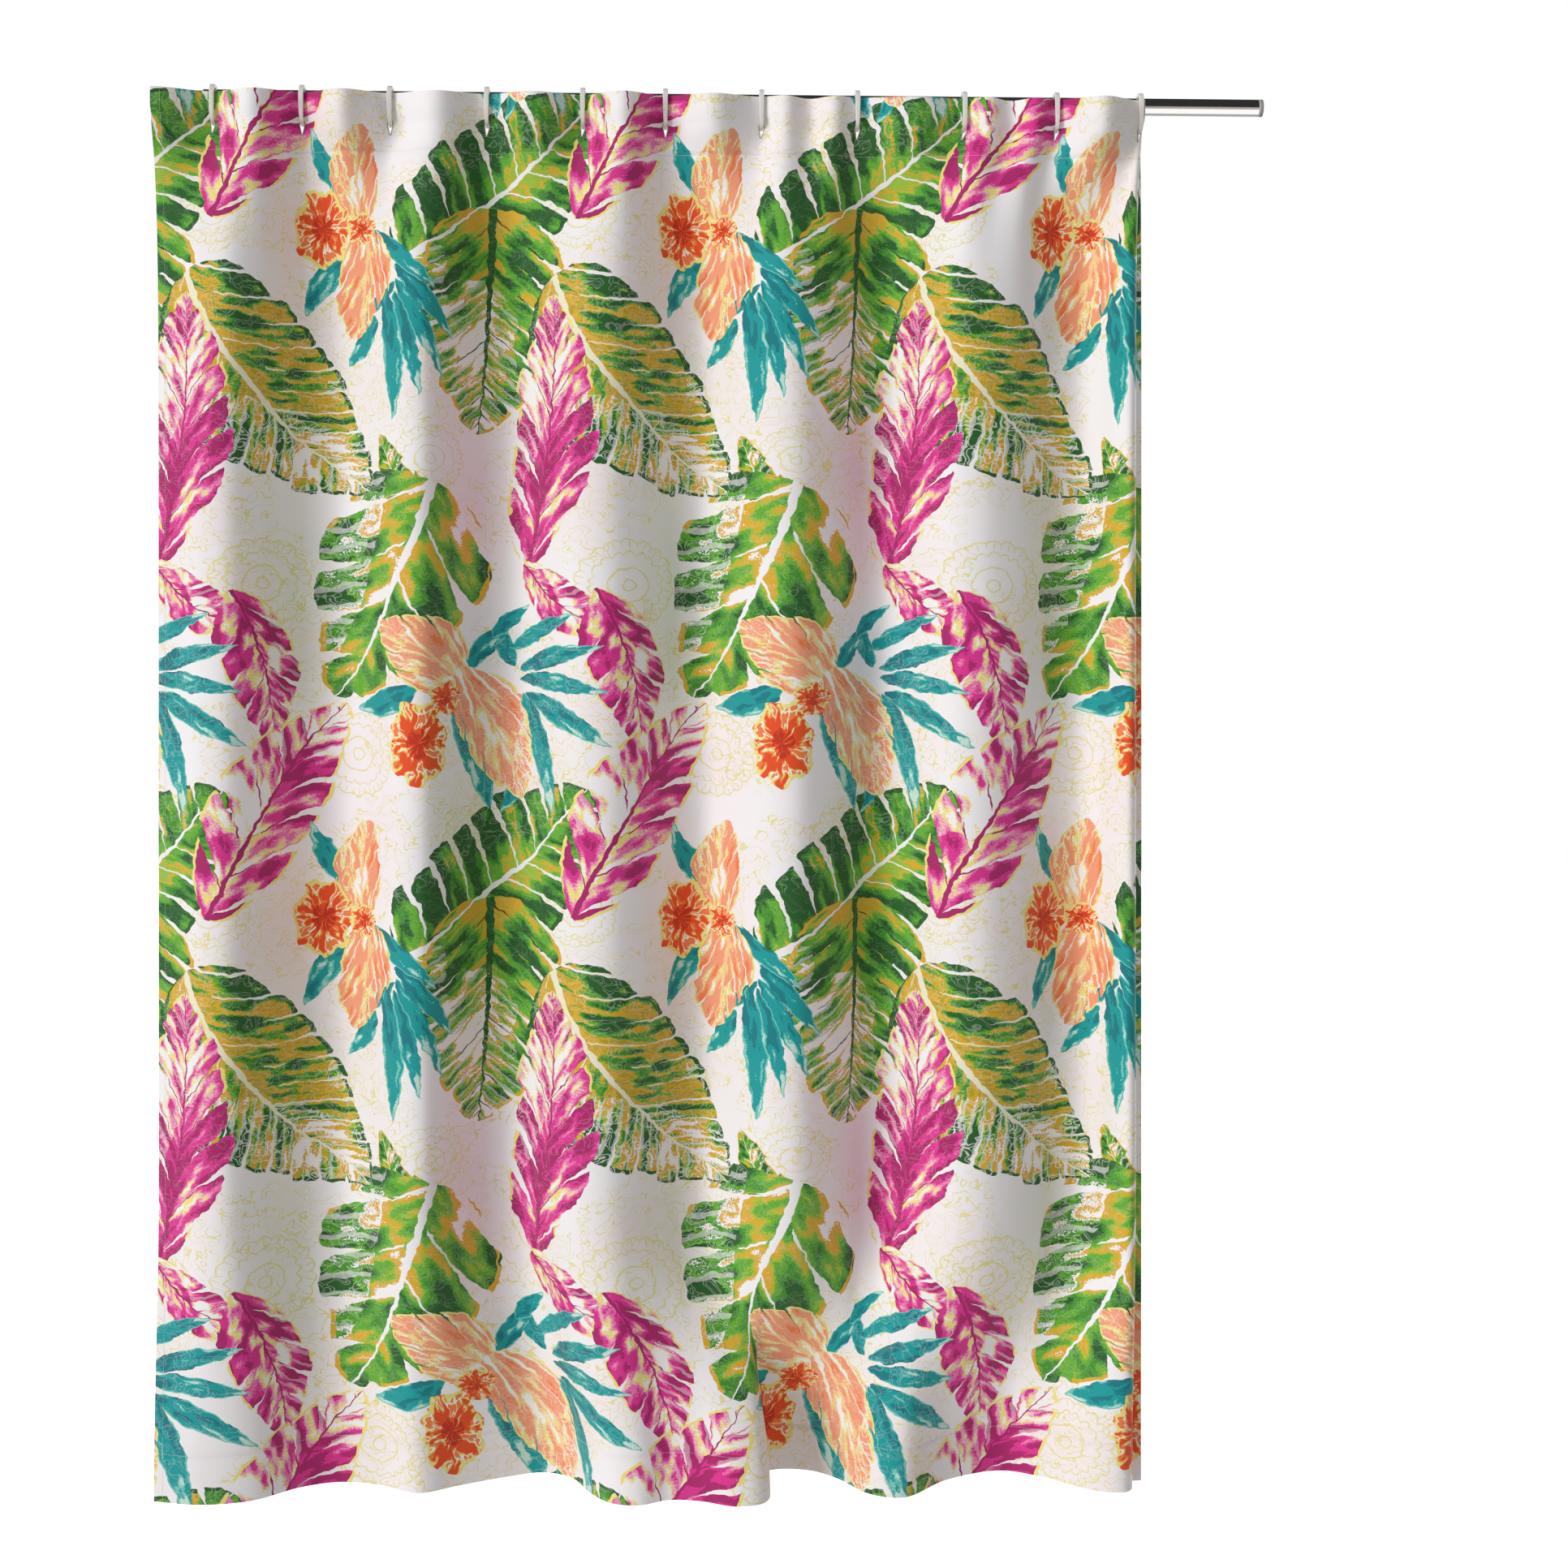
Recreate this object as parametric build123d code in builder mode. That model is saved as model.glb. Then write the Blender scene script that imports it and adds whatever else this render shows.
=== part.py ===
from build123d import *
import os
from math import cos, pi, sin, sqrt

# A printed fabric shower curtain on snap rings, hung from a spring tension rod.
# Millimetres. X runs along the rod, Z is up and -Y is the side the curtain is seen from.
# The origin is the middle of the left wall pad's outer face, on the rod's axis.

# Rod
ROD_LENGTH = 1435.0
OUTER_OD = 22.2
OUTER_WALL = 0.9
INNER_OD = 19.0
INNER_WALL = 0.8
PAD_THICKNESS = 4.0
FLANGE_THICKNESS = 2.0
SPIGOT_LENGTH = 20.0
STUD_RADIUS = 4.0
STUD_LENGTH = 12.0
OUTER_TUBE_START = 62.0
INNER_TUBE_END = 930.0
BUSH_LENGTH = 30.0
BUSH_LIP = 1.5
RUNNING_CLEARANCE = 0.05
SPRING_STOP_X = 1230.0
SPRING_STOP_LENGTH = 20.0
SPRING_RADIUS = 8.0
SPRING_WIRE = 1.8
SPRING_PITCH = 14.0

# Snap rings: the middle of each one along the rod
RING_X = [73.8, 187.8, 300.6, 425.1, 548.5, 655.1, 779.5, 904.0, 1043.2, 1163.5, 1273.2]
RING_BAR = 4.8
RING_WIDTH = 6.5
RING_TIP_WIDTH = 4.6
RING_INNER_FRONT = -15.2
RING_INNER_BACK = 13.2
RING_INNER_TOP = 11.4
RING_INNER_BOTTOM = -30.5
RING_TOP_CORNER = 10.0
RING_BOTTOM_CORNER = 12.0
RING_TAPER_START = -6.0
RING_EDGE = 1.1
RING_GAP = 1.2
RING_GAP_Z = -14.0

# Curtain: flat height, the top edge above the rod's axis and the thickness of its stand-in solids
CURTAIN_HEIGHT = 1805.0
CURTAIN_TOP = 6.5
CURTAIN_LEFT = 2.0
CURTAIN_RIGHT = 1278.0
CLOTH_THICKNESS = 1.2
STRIP_GAP = 0.6
STRIP_POINTS = 13
BUTTONHOLE_WIDTH = 8.4
BUTTONHOLE_TOP = -26.5
BUTTONHOLE_BOTTOM = -38.5

# Heights where the cloth's plan shape changes: in front of the rod, under the rings, in full folds
HEADER_FOOT = -13.0
UNDER_RINGS = -60.0
FULL_FOLDS = -650.0
HEM_Z = CURTAIN_TOP - CURTAIN_HEIGHT

# Depth of the cloth at the rings, and how far it swells forwards in each interval between two rings
HEADER_Y = -12.2
HANGING_Y = -4.0
HEADER_SWELLS = [38, 64, 32, 44, 50, 54, 2, 56, 2, 44]
HANGING_SWELLS = [32, 50, 27, 38, 42, 42, -16, 44, -20, 36]
LEFT_SWELL = 42.0
FOLD_SHIFT = 8.2

# Folds of the lower cloth as (X, Y) at each crest and each hollow
FOLDS = [
    (-4, -24),
    (63, -35),
    (240, 20),
    (336, -6),
    (494, 46),
    (600, -46),
    (762, -53),
    (824, 49),
    (867, 40),
    (961, -34),
    (1115, 39),
    (1249, -23),
    (1290, -8),
]

os.makedirs("parts", exist_ok=True)
outer_bore = OUTER_OD / 2 - OUTER_WALL
inner_bore = INNER_OD / 2 - INNER_WALL


def save(solid, label):
    """Names a finished piece and writes it."""
    solid.label = label
    export_step(solid, f"parts/{label}.step")


def across(x):
    """The plane square to the rod at x, with its normal along +X."""
    return Plane.YZ.offset(x)


def swell(x, ring_depth, swells):
    """Depth of the gathered cloth at x, which swells between the rings and is held at each one."""
    if x <= RING_X[0]:
        share = (RING_X[0] - x) / (RING_X[0] - CURTAIN_LEFT)
        return ring_depth - LEFT_SWELL * sin(pi / 2 * share) ** 2
    for left, right, size in zip(RING_X, RING_X[1:], swells):
        if x <= right:
            return ring_depth - size * sin(pi * (x - left) / (right - left)) ** 2
    return ring_depth


def header_depth(x):
    return swell(x, HEADER_Y, HEADER_SWELLS)


def hanging_depth(x):
    return swell(x, HANGING_Y, HANGING_SWELLS)


def fold_depth(x):
    """Depth of the full folds at x: smooth from each crest to the next hollow."""
    for (x0, y0), (x1, y1) in zip(FOLDS, FOLDS[1:]):
        if x <= x1:
            return FOLD_SHIFT + y0 + (y1 - y0) * (1 - cos(pi * (x - x0) / (x1 - x0))) / 2
    return FOLD_SHIFT + FOLDS[-1][1]


def cloth_side(depth, start, end, side):
    """Points along one face of the cloth from start to end, half a thickness off its middle."""
    step = (end - start) / (STRIP_POINTS - 1)
    points = []
    for i in range(STRIP_POINTS):
        x = start + i * step
        slope = (depth(x + 1) - depth(x - 1)) / 2
        points.append((x, depth(x) + side * CLOTH_THICKNESS / 2 * sqrt(1 + slope * slope)))
    return points


def cloth_section(depth, start, end, height):
    """One closed outline of a cloth strip at a height."""
    with BuildSketch(Plane.XY.offset(height)) as section:
        with BuildLine():
            front = Spline(*cloth_side(depth, start, end, -1))
            back = Spline(*cloth_side(depth, start, end, 1))
            Line(front @ 0, back @ 0)
            Line(front @ 1, back @ 1)
        make_face()
    return section.sketch.face()


# The rod's two tubes, the larger one sliding over the smaller
with BuildPart() as rod_outer_tube:
    with BuildSketch(across(OUTER_TUBE_START)):
        Circle(OUTER_OD / 2)
        Circle(outer_bore, mode=Mode.SUBTRACT)
    extrude(amount=ROD_LENGTH - PAD_THICKNESS - FLANGE_THICKNESS - OUTER_TUBE_START)
save(rod_outer_tube.part, "rod_outer_tube")

inner_tube_start = PAD_THICKNESS + FLANGE_THICKNESS
with BuildPart() as rod_inner_tube:
    with BuildSketch(across(inner_tube_start)):
        Circle(INNER_OD / 2)
        Circle(inner_bore, mode=Mode.SUBTRACT)
    extrude(amount=INNER_TUBE_END - inner_tube_start)
save(rod_inner_tube.part, "rod_inner_tube")

# The plastic bush that the inner tube glides in, held in the mouth of the outer tube
with BuildPart() as glide_bush:
    with BuildSketch(across(OUTER_TUBE_START - BUSH_LIP)):
        Circle(OUTER_OD / 2)
    extrude(amount=BUSH_LIP)
    with BuildSketch(across(OUTER_TUBE_START)):
        Circle(outer_bore)
    extrude(amount=BUSH_LENGTH)
    with BuildSketch(across(OUTER_TUBE_START - BUSH_LIP)):
        Circle(INNER_OD / 2 + RUNNING_CLEARANCE)
    extrude(amount=BUSH_LIP + BUSH_LENGTH, mode=Mode.SUBTRACT)
    chamfer(glide_bush.edges().filter_by(GeomType.CIRCLE).sort_by(Axis.X)[:1], 0.4)
save(glide_bush.part, "glide_bush")


def end_plug(label, face_x, inwards, flange_radius, spigot_radius):
    """A plastic plug in a tube's end, with a socket for the rubber pad's stud."""
    with BuildPart() as plug:
        with BuildSketch(across(face_x)):
            Circle(flange_radius)
        extrude(amount=inwards * FLANGE_THICKNESS)
        with BuildSketch(across(face_x + inwards * FLANGE_THICKNESS)):
            Circle(spigot_radius)
        extrude(amount=inwards * SPIGOT_LENGTH)
        with BuildSketch(across(face_x)):
            Circle(STUD_RADIUS)
        extrude(amount=inwards * STUD_LENGTH, mode=Mode.SUBTRACT)
    save(plug.part, label)


def wall_pad(label, wall_x, inwards):
    """A rubber pad with a rounded rim and a stud that holds it in the end plug."""
    with BuildPart() as pad:
        with BuildSketch(across(wall_x)):
            Circle(OUTER_OD / 2)
        extrude(amount=inwards * PAD_THICKNESS)
        fillet(pad.edges().filter_by(GeomType.CIRCLE), 0.8)
        with BuildSketch(across(wall_x + inwards * PAD_THICKNESS)):
            Circle(STUD_RADIUS)
        extrude(amount=inwards * (STUD_LENGTH - 0.5))
    save(pad.part, label)


end_plug("left_end_plug", PAD_THICKNESS, 1, INNER_OD / 2, inner_bore)
end_plug("right_end_plug", ROD_LENGTH - PAD_THICKNESS, -1, OUTER_OD / 2, outer_bore)
wall_pad("left_wall_pad", 0, 1)
wall_pad("right_wall_pad", ROD_LENGTH, -1)

# The tension spring, between a seat in the inner tube's end and a stop held in the outer tube
with BuildPart() as spring_seat:
    with BuildSketch(across(INNER_TUBE_END)):
        Circle(INNER_OD / 2)
    extrude(amount=FLANGE_THICKNESS)
    with BuildSketch(across(INNER_TUBE_END)):
        Circle(inner_bore)
    extrude(amount=-SPIGOT_LENGTH)
    with BuildSketch(across(INNER_TUBE_END + FLANGE_THICKNESS)):
        Circle(SPRING_RADIUS - SPRING_WIRE)
    extrude(amount=6)
    chamfer(spring_seat.edges().filter_by(GeomType.CIRCLE).sort_by(Axis.X)[-1:], 1.0)
save(spring_seat.part, "spring_seat")

with BuildPart() as spring_stop:
    with BuildSketch(across(SPRING_STOP_X)):
        Circle(outer_bore)
    extrude(amount=SPRING_STOP_LENGTH)
    with BuildSketch(across(SPRING_STOP_X)):
        Circle(SPRING_RADIUS - SPRING_WIRE)
    extrude(amount=-6)
    chamfer(spring_stop.edges().filter_by(GeomType.CIRCLE).sort_by(Axis.X)[:1], 1.0)
save(spring_stop.part, "spring_stop")

spring_start = INNER_TUBE_END + FLANGE_THICKNESS + SPRING_WIRE / 2 + 0.2
spring_length = SPRING_STOP_X - SPRING_WIRE / 2 - 0.2 - spring_start
with BuildPart() as tension_spring:
    with BuildLine():
        coil = Helix(
            SPRING_PITCH, spring_length, SPRING_RADIUS, center=(spring_start, 0, 0), direction=(1, 0, 0)
        )
    with BuildSketch(Plane(origin=coil @ 0, z_dir=coil % 0)):
        Circle(SPRING_WIRE / 2)
    sweep(is_frenet=True)
save(tension_spring.part, "tension_spring")

# The snap rings: a rounded loop round the rod and the cloth's header, tapered to its tip, with a snap gap


def ring_outline(grow):
    """The ring's inner outline, grown outwards all round."""
    width = RING_INNER_BACK - RING_INNER_FRONT + 2 * grow
    height = RING_INNER_TOP - RING_INNER_BOTTOM + 2 * grow
    with Locations(((RING_INNER_BACK + RING_INNER_FRONT) / 2, (RING_INNER_TOP + RING_INNER_BOTTOM) / 2)):
        Rectangle(width, height)
    fillet(vertices().group_by(Axis.Y)[-1], RING_TOP_CORNER + grow)
    fillet(vertices().group_by(Axis.Y)[0], RING_BOTTOM_CORNER + grow)


def snap_ring(label, x):
    """One ring with its middle at x along the rod."""
    half = RING_WIDTH / 2
    tip = RING_TIP_WIDTH / 2
    with BuildPart() as ring:
        with BuildSketch(across(x - half)):
            ring_outline(RING_BAR)
        extrude(amount=RING_WIDTH)
        with BuildSketch(across(x - half)):
            ring_outline(0)
        extrude(amount=RING_WIDTH, mode=Mode.SUBTRACT)
        with BuildSketch(Plane.XZ.offset(-60)):
            with BuildLine():
                Polyline(
                    (x - half, 30),
                    (x + half, 30),
                    (x + half, RING_TAPER_START),
                    (x + tip, RING_INNER_BOTTOM - RING_BAR - 1),
                    (x - tip, RING_INNER_BOTTOM - RING_BAR - 1),
                    (x - half, RING_TAPER_START),
                    close=True,
                )
            make_face()
        extrude(amount=120, mode=Mode.INTERSECT)
        fillet(ring.edges(), RING_EDGE)
        with Locations((x, RING_INNER_BACK + RING_BAR / 2, RING_GAP_Z)):
            Box(RING_WIDTH * 2, RING_BAR * 2, RING_GAP, rotation=(25, 0, 0), mode=Mode.SUBTRACT)
    save(ring.part, label)


# The curtain: one strip of the cloth for each ring, which passes through a buttonhole in its strip
strip_edges = [CURTAIN_LEFT] + [(a + b) / 2 for a, b in zip(RING_X, RING_X[1:])] + [CURTAIN_RIGHT]


def cloth_strip(label, x, left, right):
    """The cloth that one ring carries: header in front of the rod, then down through the folds to the hem."""
    sections = [
        cloth_section(header_depth, left, right, CURTAIN_TOP),
        cloth_section(header_depth, left, right, HEADER_FOOT),
        cloth_section(hanging_depth, left, right, UNDER_RINGS),
        cloth_section(fold_depth, left, right, FULL_FOLDS),
        cloth_section(fold_depth, left, right, HEM_Z),
    ]
    with BuildPart() as strip:
        loft(sections=sections, ruled=True)
        with Locations((x, HEADER_Y, (BUTTONHOLE_TOP + BUTTONHOLE_BOTTOM) / 2)):
            Box(BUTTONHOLE_WIDTH, 40, BUTTONHOLE_TOP - BUTTONHOLE_BOTTOM, mode=Mode.SUBTRACT)
    save(strip.part, label)


for number, x in enumerate(RING_X, 1):
    snap_ring(f"ring_{number:02d}", x)
    left_edge = strip_edges[number - 1] + (STRIP_GAP / 2 if number > 1 else 0)
    right_edge = strip_edges[number] - (STRIP_GAP / 2 if number < len(RING_X) else 0)
    cloth_strip(f"cloth_{number:02d}", x, left_edge, right_edge)
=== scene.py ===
"""A printed fabric shower curtain on snap rings and a spring tension rod: its cloth, stitching and finishes."""
import math

import bpy
import numpy as np
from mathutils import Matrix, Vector


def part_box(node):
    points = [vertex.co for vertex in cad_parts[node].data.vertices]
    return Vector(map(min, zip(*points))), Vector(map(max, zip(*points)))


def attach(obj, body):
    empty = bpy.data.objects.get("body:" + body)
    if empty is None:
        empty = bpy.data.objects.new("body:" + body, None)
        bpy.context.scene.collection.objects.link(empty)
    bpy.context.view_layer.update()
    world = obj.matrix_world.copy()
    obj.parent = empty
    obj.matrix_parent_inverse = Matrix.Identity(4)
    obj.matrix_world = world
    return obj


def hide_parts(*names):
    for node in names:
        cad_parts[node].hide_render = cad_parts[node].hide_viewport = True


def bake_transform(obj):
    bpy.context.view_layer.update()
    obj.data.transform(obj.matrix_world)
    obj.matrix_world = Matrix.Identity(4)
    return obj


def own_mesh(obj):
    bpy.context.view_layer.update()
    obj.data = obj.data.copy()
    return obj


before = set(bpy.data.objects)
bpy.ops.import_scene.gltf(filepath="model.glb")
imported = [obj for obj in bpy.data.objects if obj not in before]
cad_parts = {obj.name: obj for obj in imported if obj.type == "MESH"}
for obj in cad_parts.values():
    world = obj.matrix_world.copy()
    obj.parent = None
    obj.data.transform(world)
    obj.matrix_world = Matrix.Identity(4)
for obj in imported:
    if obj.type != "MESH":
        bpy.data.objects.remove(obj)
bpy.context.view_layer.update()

bl_info = {
    "name": "Shower Curtain Maker",
    "version": (1, 0, 0),
    "blender": (4, 5, 0),
    "location": "View3D > Sidebar > Curtain",
    "description": "Hangs a printed fabric shower curtain on the rings of a tension rod",
    "category": "Object",
}

RINGS = sorted(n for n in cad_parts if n.startswith("ring_"))
STRIPS = sorted(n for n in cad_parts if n.startswith("cloth_"))
RING_X = [(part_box(n)[0].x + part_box(n)[1].x) / 2 for n in RINGS]
CLOTH_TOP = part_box(STRIPS[0])[1].z
CLOTH_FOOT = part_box(STRIPS[0])[0].z
CLOTH_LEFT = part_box(STRIPS[0])[0].x
CLOTH_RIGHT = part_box(STRIPS[-1])[1].x
SPRING_RADIUS, SPRING_WIRE, SPRING_PITCH = 0.008, 0.0018, 0.014
SPRING_SIDES, SPRING_STEPS = 12, 24


# ---------------------------------------------------------------- settings

class CurtainSettings(bpy.types.PropertyGroup):
    """Sizes of the curtain."""

    ring_pitch: bpy.props.FloatProperty(
        name="Ring pitch", description="Flat cloth from one buttonhole to the next",
        default=0.150, min=0.1, unit="LENGTH",
    )
    side_margin: bpy.props.FloatProperty(
        name="Side margin", description="Flat cloth beyond the first and the last buttonhole",
        default=0.075, min=0.02, unit="LENGTH",
    )
    top_hem: bpy.props.FloatProperty(
        name="Top hem", description="Depth of the doubled cloth along the top",
        default=0.075, min=0.0, unit="LENGTH",
    )
    bottom_hem: bpy.props.FloatProperty(
        name="Bottom hem", description="Depth of the doubled cloth along the foot",
        default=0.060, min=0.0, unit="LENGTH",
    )
    stitch_pitch: bpy.props.FloatProperty(
        name="Stitch pitch", description="Distance from one hem stitch to the next", default=0.0034, min=0.001,
        unit="LENGTH",
    )
    ring_color: bpy.props.FloatVectorProperty(
        name="Ring color", description="Plastic of the snap rings", default=(0.80, 0.78, 0.73), min=0.0, max=1.0,
        subtype="COLOR",
    )
    plug_color: bpy.props.FloatVectorProperty(
        name="Plug color", description="Plastic of the plugs and the glide bush", default=(0.55, 0.55, 0.53),
        min=0.0, max=1.0, subtype="COLOR",
    )
    pad_color: bpy.props.FloatVectorProperty(
        name="Pad color", description="Rubber of the wall pads", default=(0.30, 0.30, 0.31), min=0.0, max=1.0,
        subtype="COLOR",
    )


class StageSettings(bpy.types.PropertyGroup):
    """Camera, floor and light."""

    lens: bpy.props.FloatProperty(
        name="Lens", description="Focal length for a 36 mm sensor", default=58.3, min=20.0, unit="CAMERA",
    )
    camera_height: bpy.props.FloatProperty(
        name="Camera height", description="Height of the camera from the rod's axis", default=-0.884,
        unit="LENGTH",
    )
    camera_distance: bpy.props.FloatProperty(
        name="Camera distance", description="Distance from the camera to the rod", default=3.297,
        unit="LENGTH",
    )
    camera_turn: bpy.props.FloatProperty(
        name="Camera turn", description="Turn of the camera towards the right-hand wall",
        default=math.radians(2.1), unit="ROTATION",
    )
    key_turn: bpy.props.FloatProperty(
        name="Key light turn", description="How far to the left of straight ahead the key light comes from",
        default=math.radians(50), unit="ROTATION",
    )
    key_strength: bpy.props.FloatProperty(
        name="Key light strength", description="Strength of the key light", default=2.15, min=0.0,
    )
    back_strength: bpy.props.FloatProperty(
        name="Back light strength", description="Strength of the light from behind", default=1.3, min=0.0,
    )
    fill: bpy.props.FloatProperty(
        name="Fill light", description="Strength of the light from all round", default=0.34, min=0.0,
    )


# ---------------------------------------------------------------- helpers

def settings():
    return bpy.context.scene.curtain_settings


def mesh_object(name, vertices, faces):
    """A new mesh object in the scene, at the origin."""
    mesh = bpy.data.meshes.new(name)
    mesh.from_pydata([tuple(v) for v in vertices], [], faces)
    mesh.update()
    piece = bpy.data.objects.new(name, mesh)
    bpy.context.scene.collection.objects.link(piece)
    return piece


def smoothstep(low, high, value):
    share = np.clip((value - low) / (high - low), 0, 1)
    return share * share * (3 - 2 * share)


# ---------------------------------------------------------------- cloth shape

def arc_lengths(curve):
    """Distance along a plan curve at each of its points."""
    steps = np.hypot(*np.diff(curve, axis=0).T)
    return np.concatenate([[0], np.cumsum(steps)])


def swelled(start, end, depth, length, waves):
    """Cloth of a given length held at two rings that are nearer together, so that it swells forwards between them."""
    share = np.linspace(0, 1, 41)
    x = start + (end - start) * share
    low, high = 0.0, length
    for _ in range(30):
        size = (low + high) / 2
        y = depth - size * np.sin(waves * np.pi * share) ** 2
        low, high = (size, high) if arc_lengths(np.c_[x, y])[-1] < length else (low, size)
    return np.c_[x, y]


def through(points):
    """A smooth plan curve through given points."""
    p = np.array(points, float)
    p = np.vstack([2 * p[0] - p[1], p, 2 * p[-1] - p[-2]])
    knots = np.cumsum(np.concatenate([[0], np.hypot(*np.diff(p, axis=0).T) ** 0.5]))
    curve = []
    for i in range(1, len(p) - 2):
        t0, t1, t2, t3 = knots[i - 1:i + 3]
        for t in np.linspace(t1, t2, 16, endpoint=False):
            a1 = (t1 - t) / (t1 - t0) * p[i - 1] + (t - t0) / (t1 - t0) * p[i]
            a2 = (t2 - t) / (t2 - t1) * p[i] + (t - t1) / (t2 - t1) * p[i + 1]
            a3 = (t3 - t) / (t3 - t2) * p[i + 1] + (t - t2) / (t3 - t2) * p[i + 2]
            b1 = (t2 - t) / (t2 - t0) * a1 + (t - t0) / (t2 - t0) * a2
            b2 = (t3 - t) / (t3 - t1) * a2 + (t - t1) / (t3 - t1) * a3
            curve.append((t2 - t) / (t2 - t1) * b1 + (t - t1) / (t2 - t1) * b2)
    curve.append(p[-2])
    return np.array(curve)


def let_out(points, length):
    """The curve through the points, with its folds made deeper or shallower until it has the cloth's length."""
    flat = np.array(points, float)
    middle = flat[:, 1].mean()
    low, high = 0.2, 3.0
    for _ in range(30):
        depth = (low + high) / 2
        curve = through(np.c_[flat[:, 0], middle + depth * (flat[:, 1] - middle)])
        low, high = (depth, high) if arc_lengths(curve)[-1] < length else (low, depth)
    return curve


# How many swells the cloth makes between each two rings: one deep one, or two shallow ones
HEADER_SWELLS = [1, 1, 1, 1, 1, 1, 2, 1, 2, 1]
HEADER_DEPTH = -0.0122
HANGING_DEPTH = -0.005
# Cloth that stands forward of the rod hangs lower by this share of its distance
FORWARD_DROOP = 0.10
# How far the left edge curls forwards, and the right edge backwards below the rod and forwards at it
LEFT_CURL, RIGHT_CURL, RIGHT_LEAN = 0.035, 0.030, 0.004
# Depths below the top edge: between the first two the cloth comes back under the rod, at the next its folds start,
# and between the last two they turn into the hem's
UNDER_ROD = (0.020, 0.042)
FOLDS_START, FOLDS_GROWTH = 0.045, 0.09
HEM_TURN = (1.42, 1.80)
# The doubled cloth of a hem: how far it stands forward, over what step, and the groove that its stitching pulls
DOUBLED, DOUBLED_STEP = 0.0007, 0.002
GROOVE_DEPTH, GROOVE_WIDTH = 0.0012, 0.0011
# The header's droop between two rings, and the depth over which it fades
HEADER_SAG, SAG_FADE = 0.0022, 0.15
# Spacing of the cloth's grid, and of the rows beside each hem's stitching
GRID_ACROSS, GRID_DOWN, SEAM_ROW = 0.0055, 0.0085, 0.0016

# Plan shape of the folds at mid height and at the hem, millimetres from the rod's left wall and from its axis
BODY_FOLDS = [
    (2, 6), (30, -14), (62, -40), (98, -46), (132, -22), (159, 8), (190, 38), (226, 44), (260, 24), (288, -8),
    (316, -38), (345, -44), (370, -24), (392, 6), (418, 36), (450, 44), (480, 24), (508, -10), (545, -40), (584, -44),
    (618, -24), (650, 8), (674, 34), (702, 42), (728, 20), (752, -10), (788, -40), (824, -46), (862, -22), (893, 8),
    (914, 34), (942, 44), (968, 20), (992, -12), (1026, -42), (1064, -46), (1108, -24), (1142, 6), (1168, 34),
    (1198, 42), (1222, 20), (1240, -10), (1256, -26), (1266, -16), (1262, 4), (1278, 12),
]
HEM_FOLDS = [
    (2, -19), (63, -30), (127, -20), (182, 16), (231, 30), (284, 20), (336, -4), (388, 17), (441, 38), (494, 52),
    (531, 36), (559, -9), (586, -37), (622, -44), (660, -30), (700, -34), (745, -50), (778, -44), (790, -24),
    (782, 10), (770, 36), (800, 54), (845, 50), (880, 26), (919, -19), (961, -30), (1025, 20), (1098, 44),
    (1150, 24), (1215, -18), (1249, -22), (1262, -10), (1260, 8), (1278, 12),
]


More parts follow.
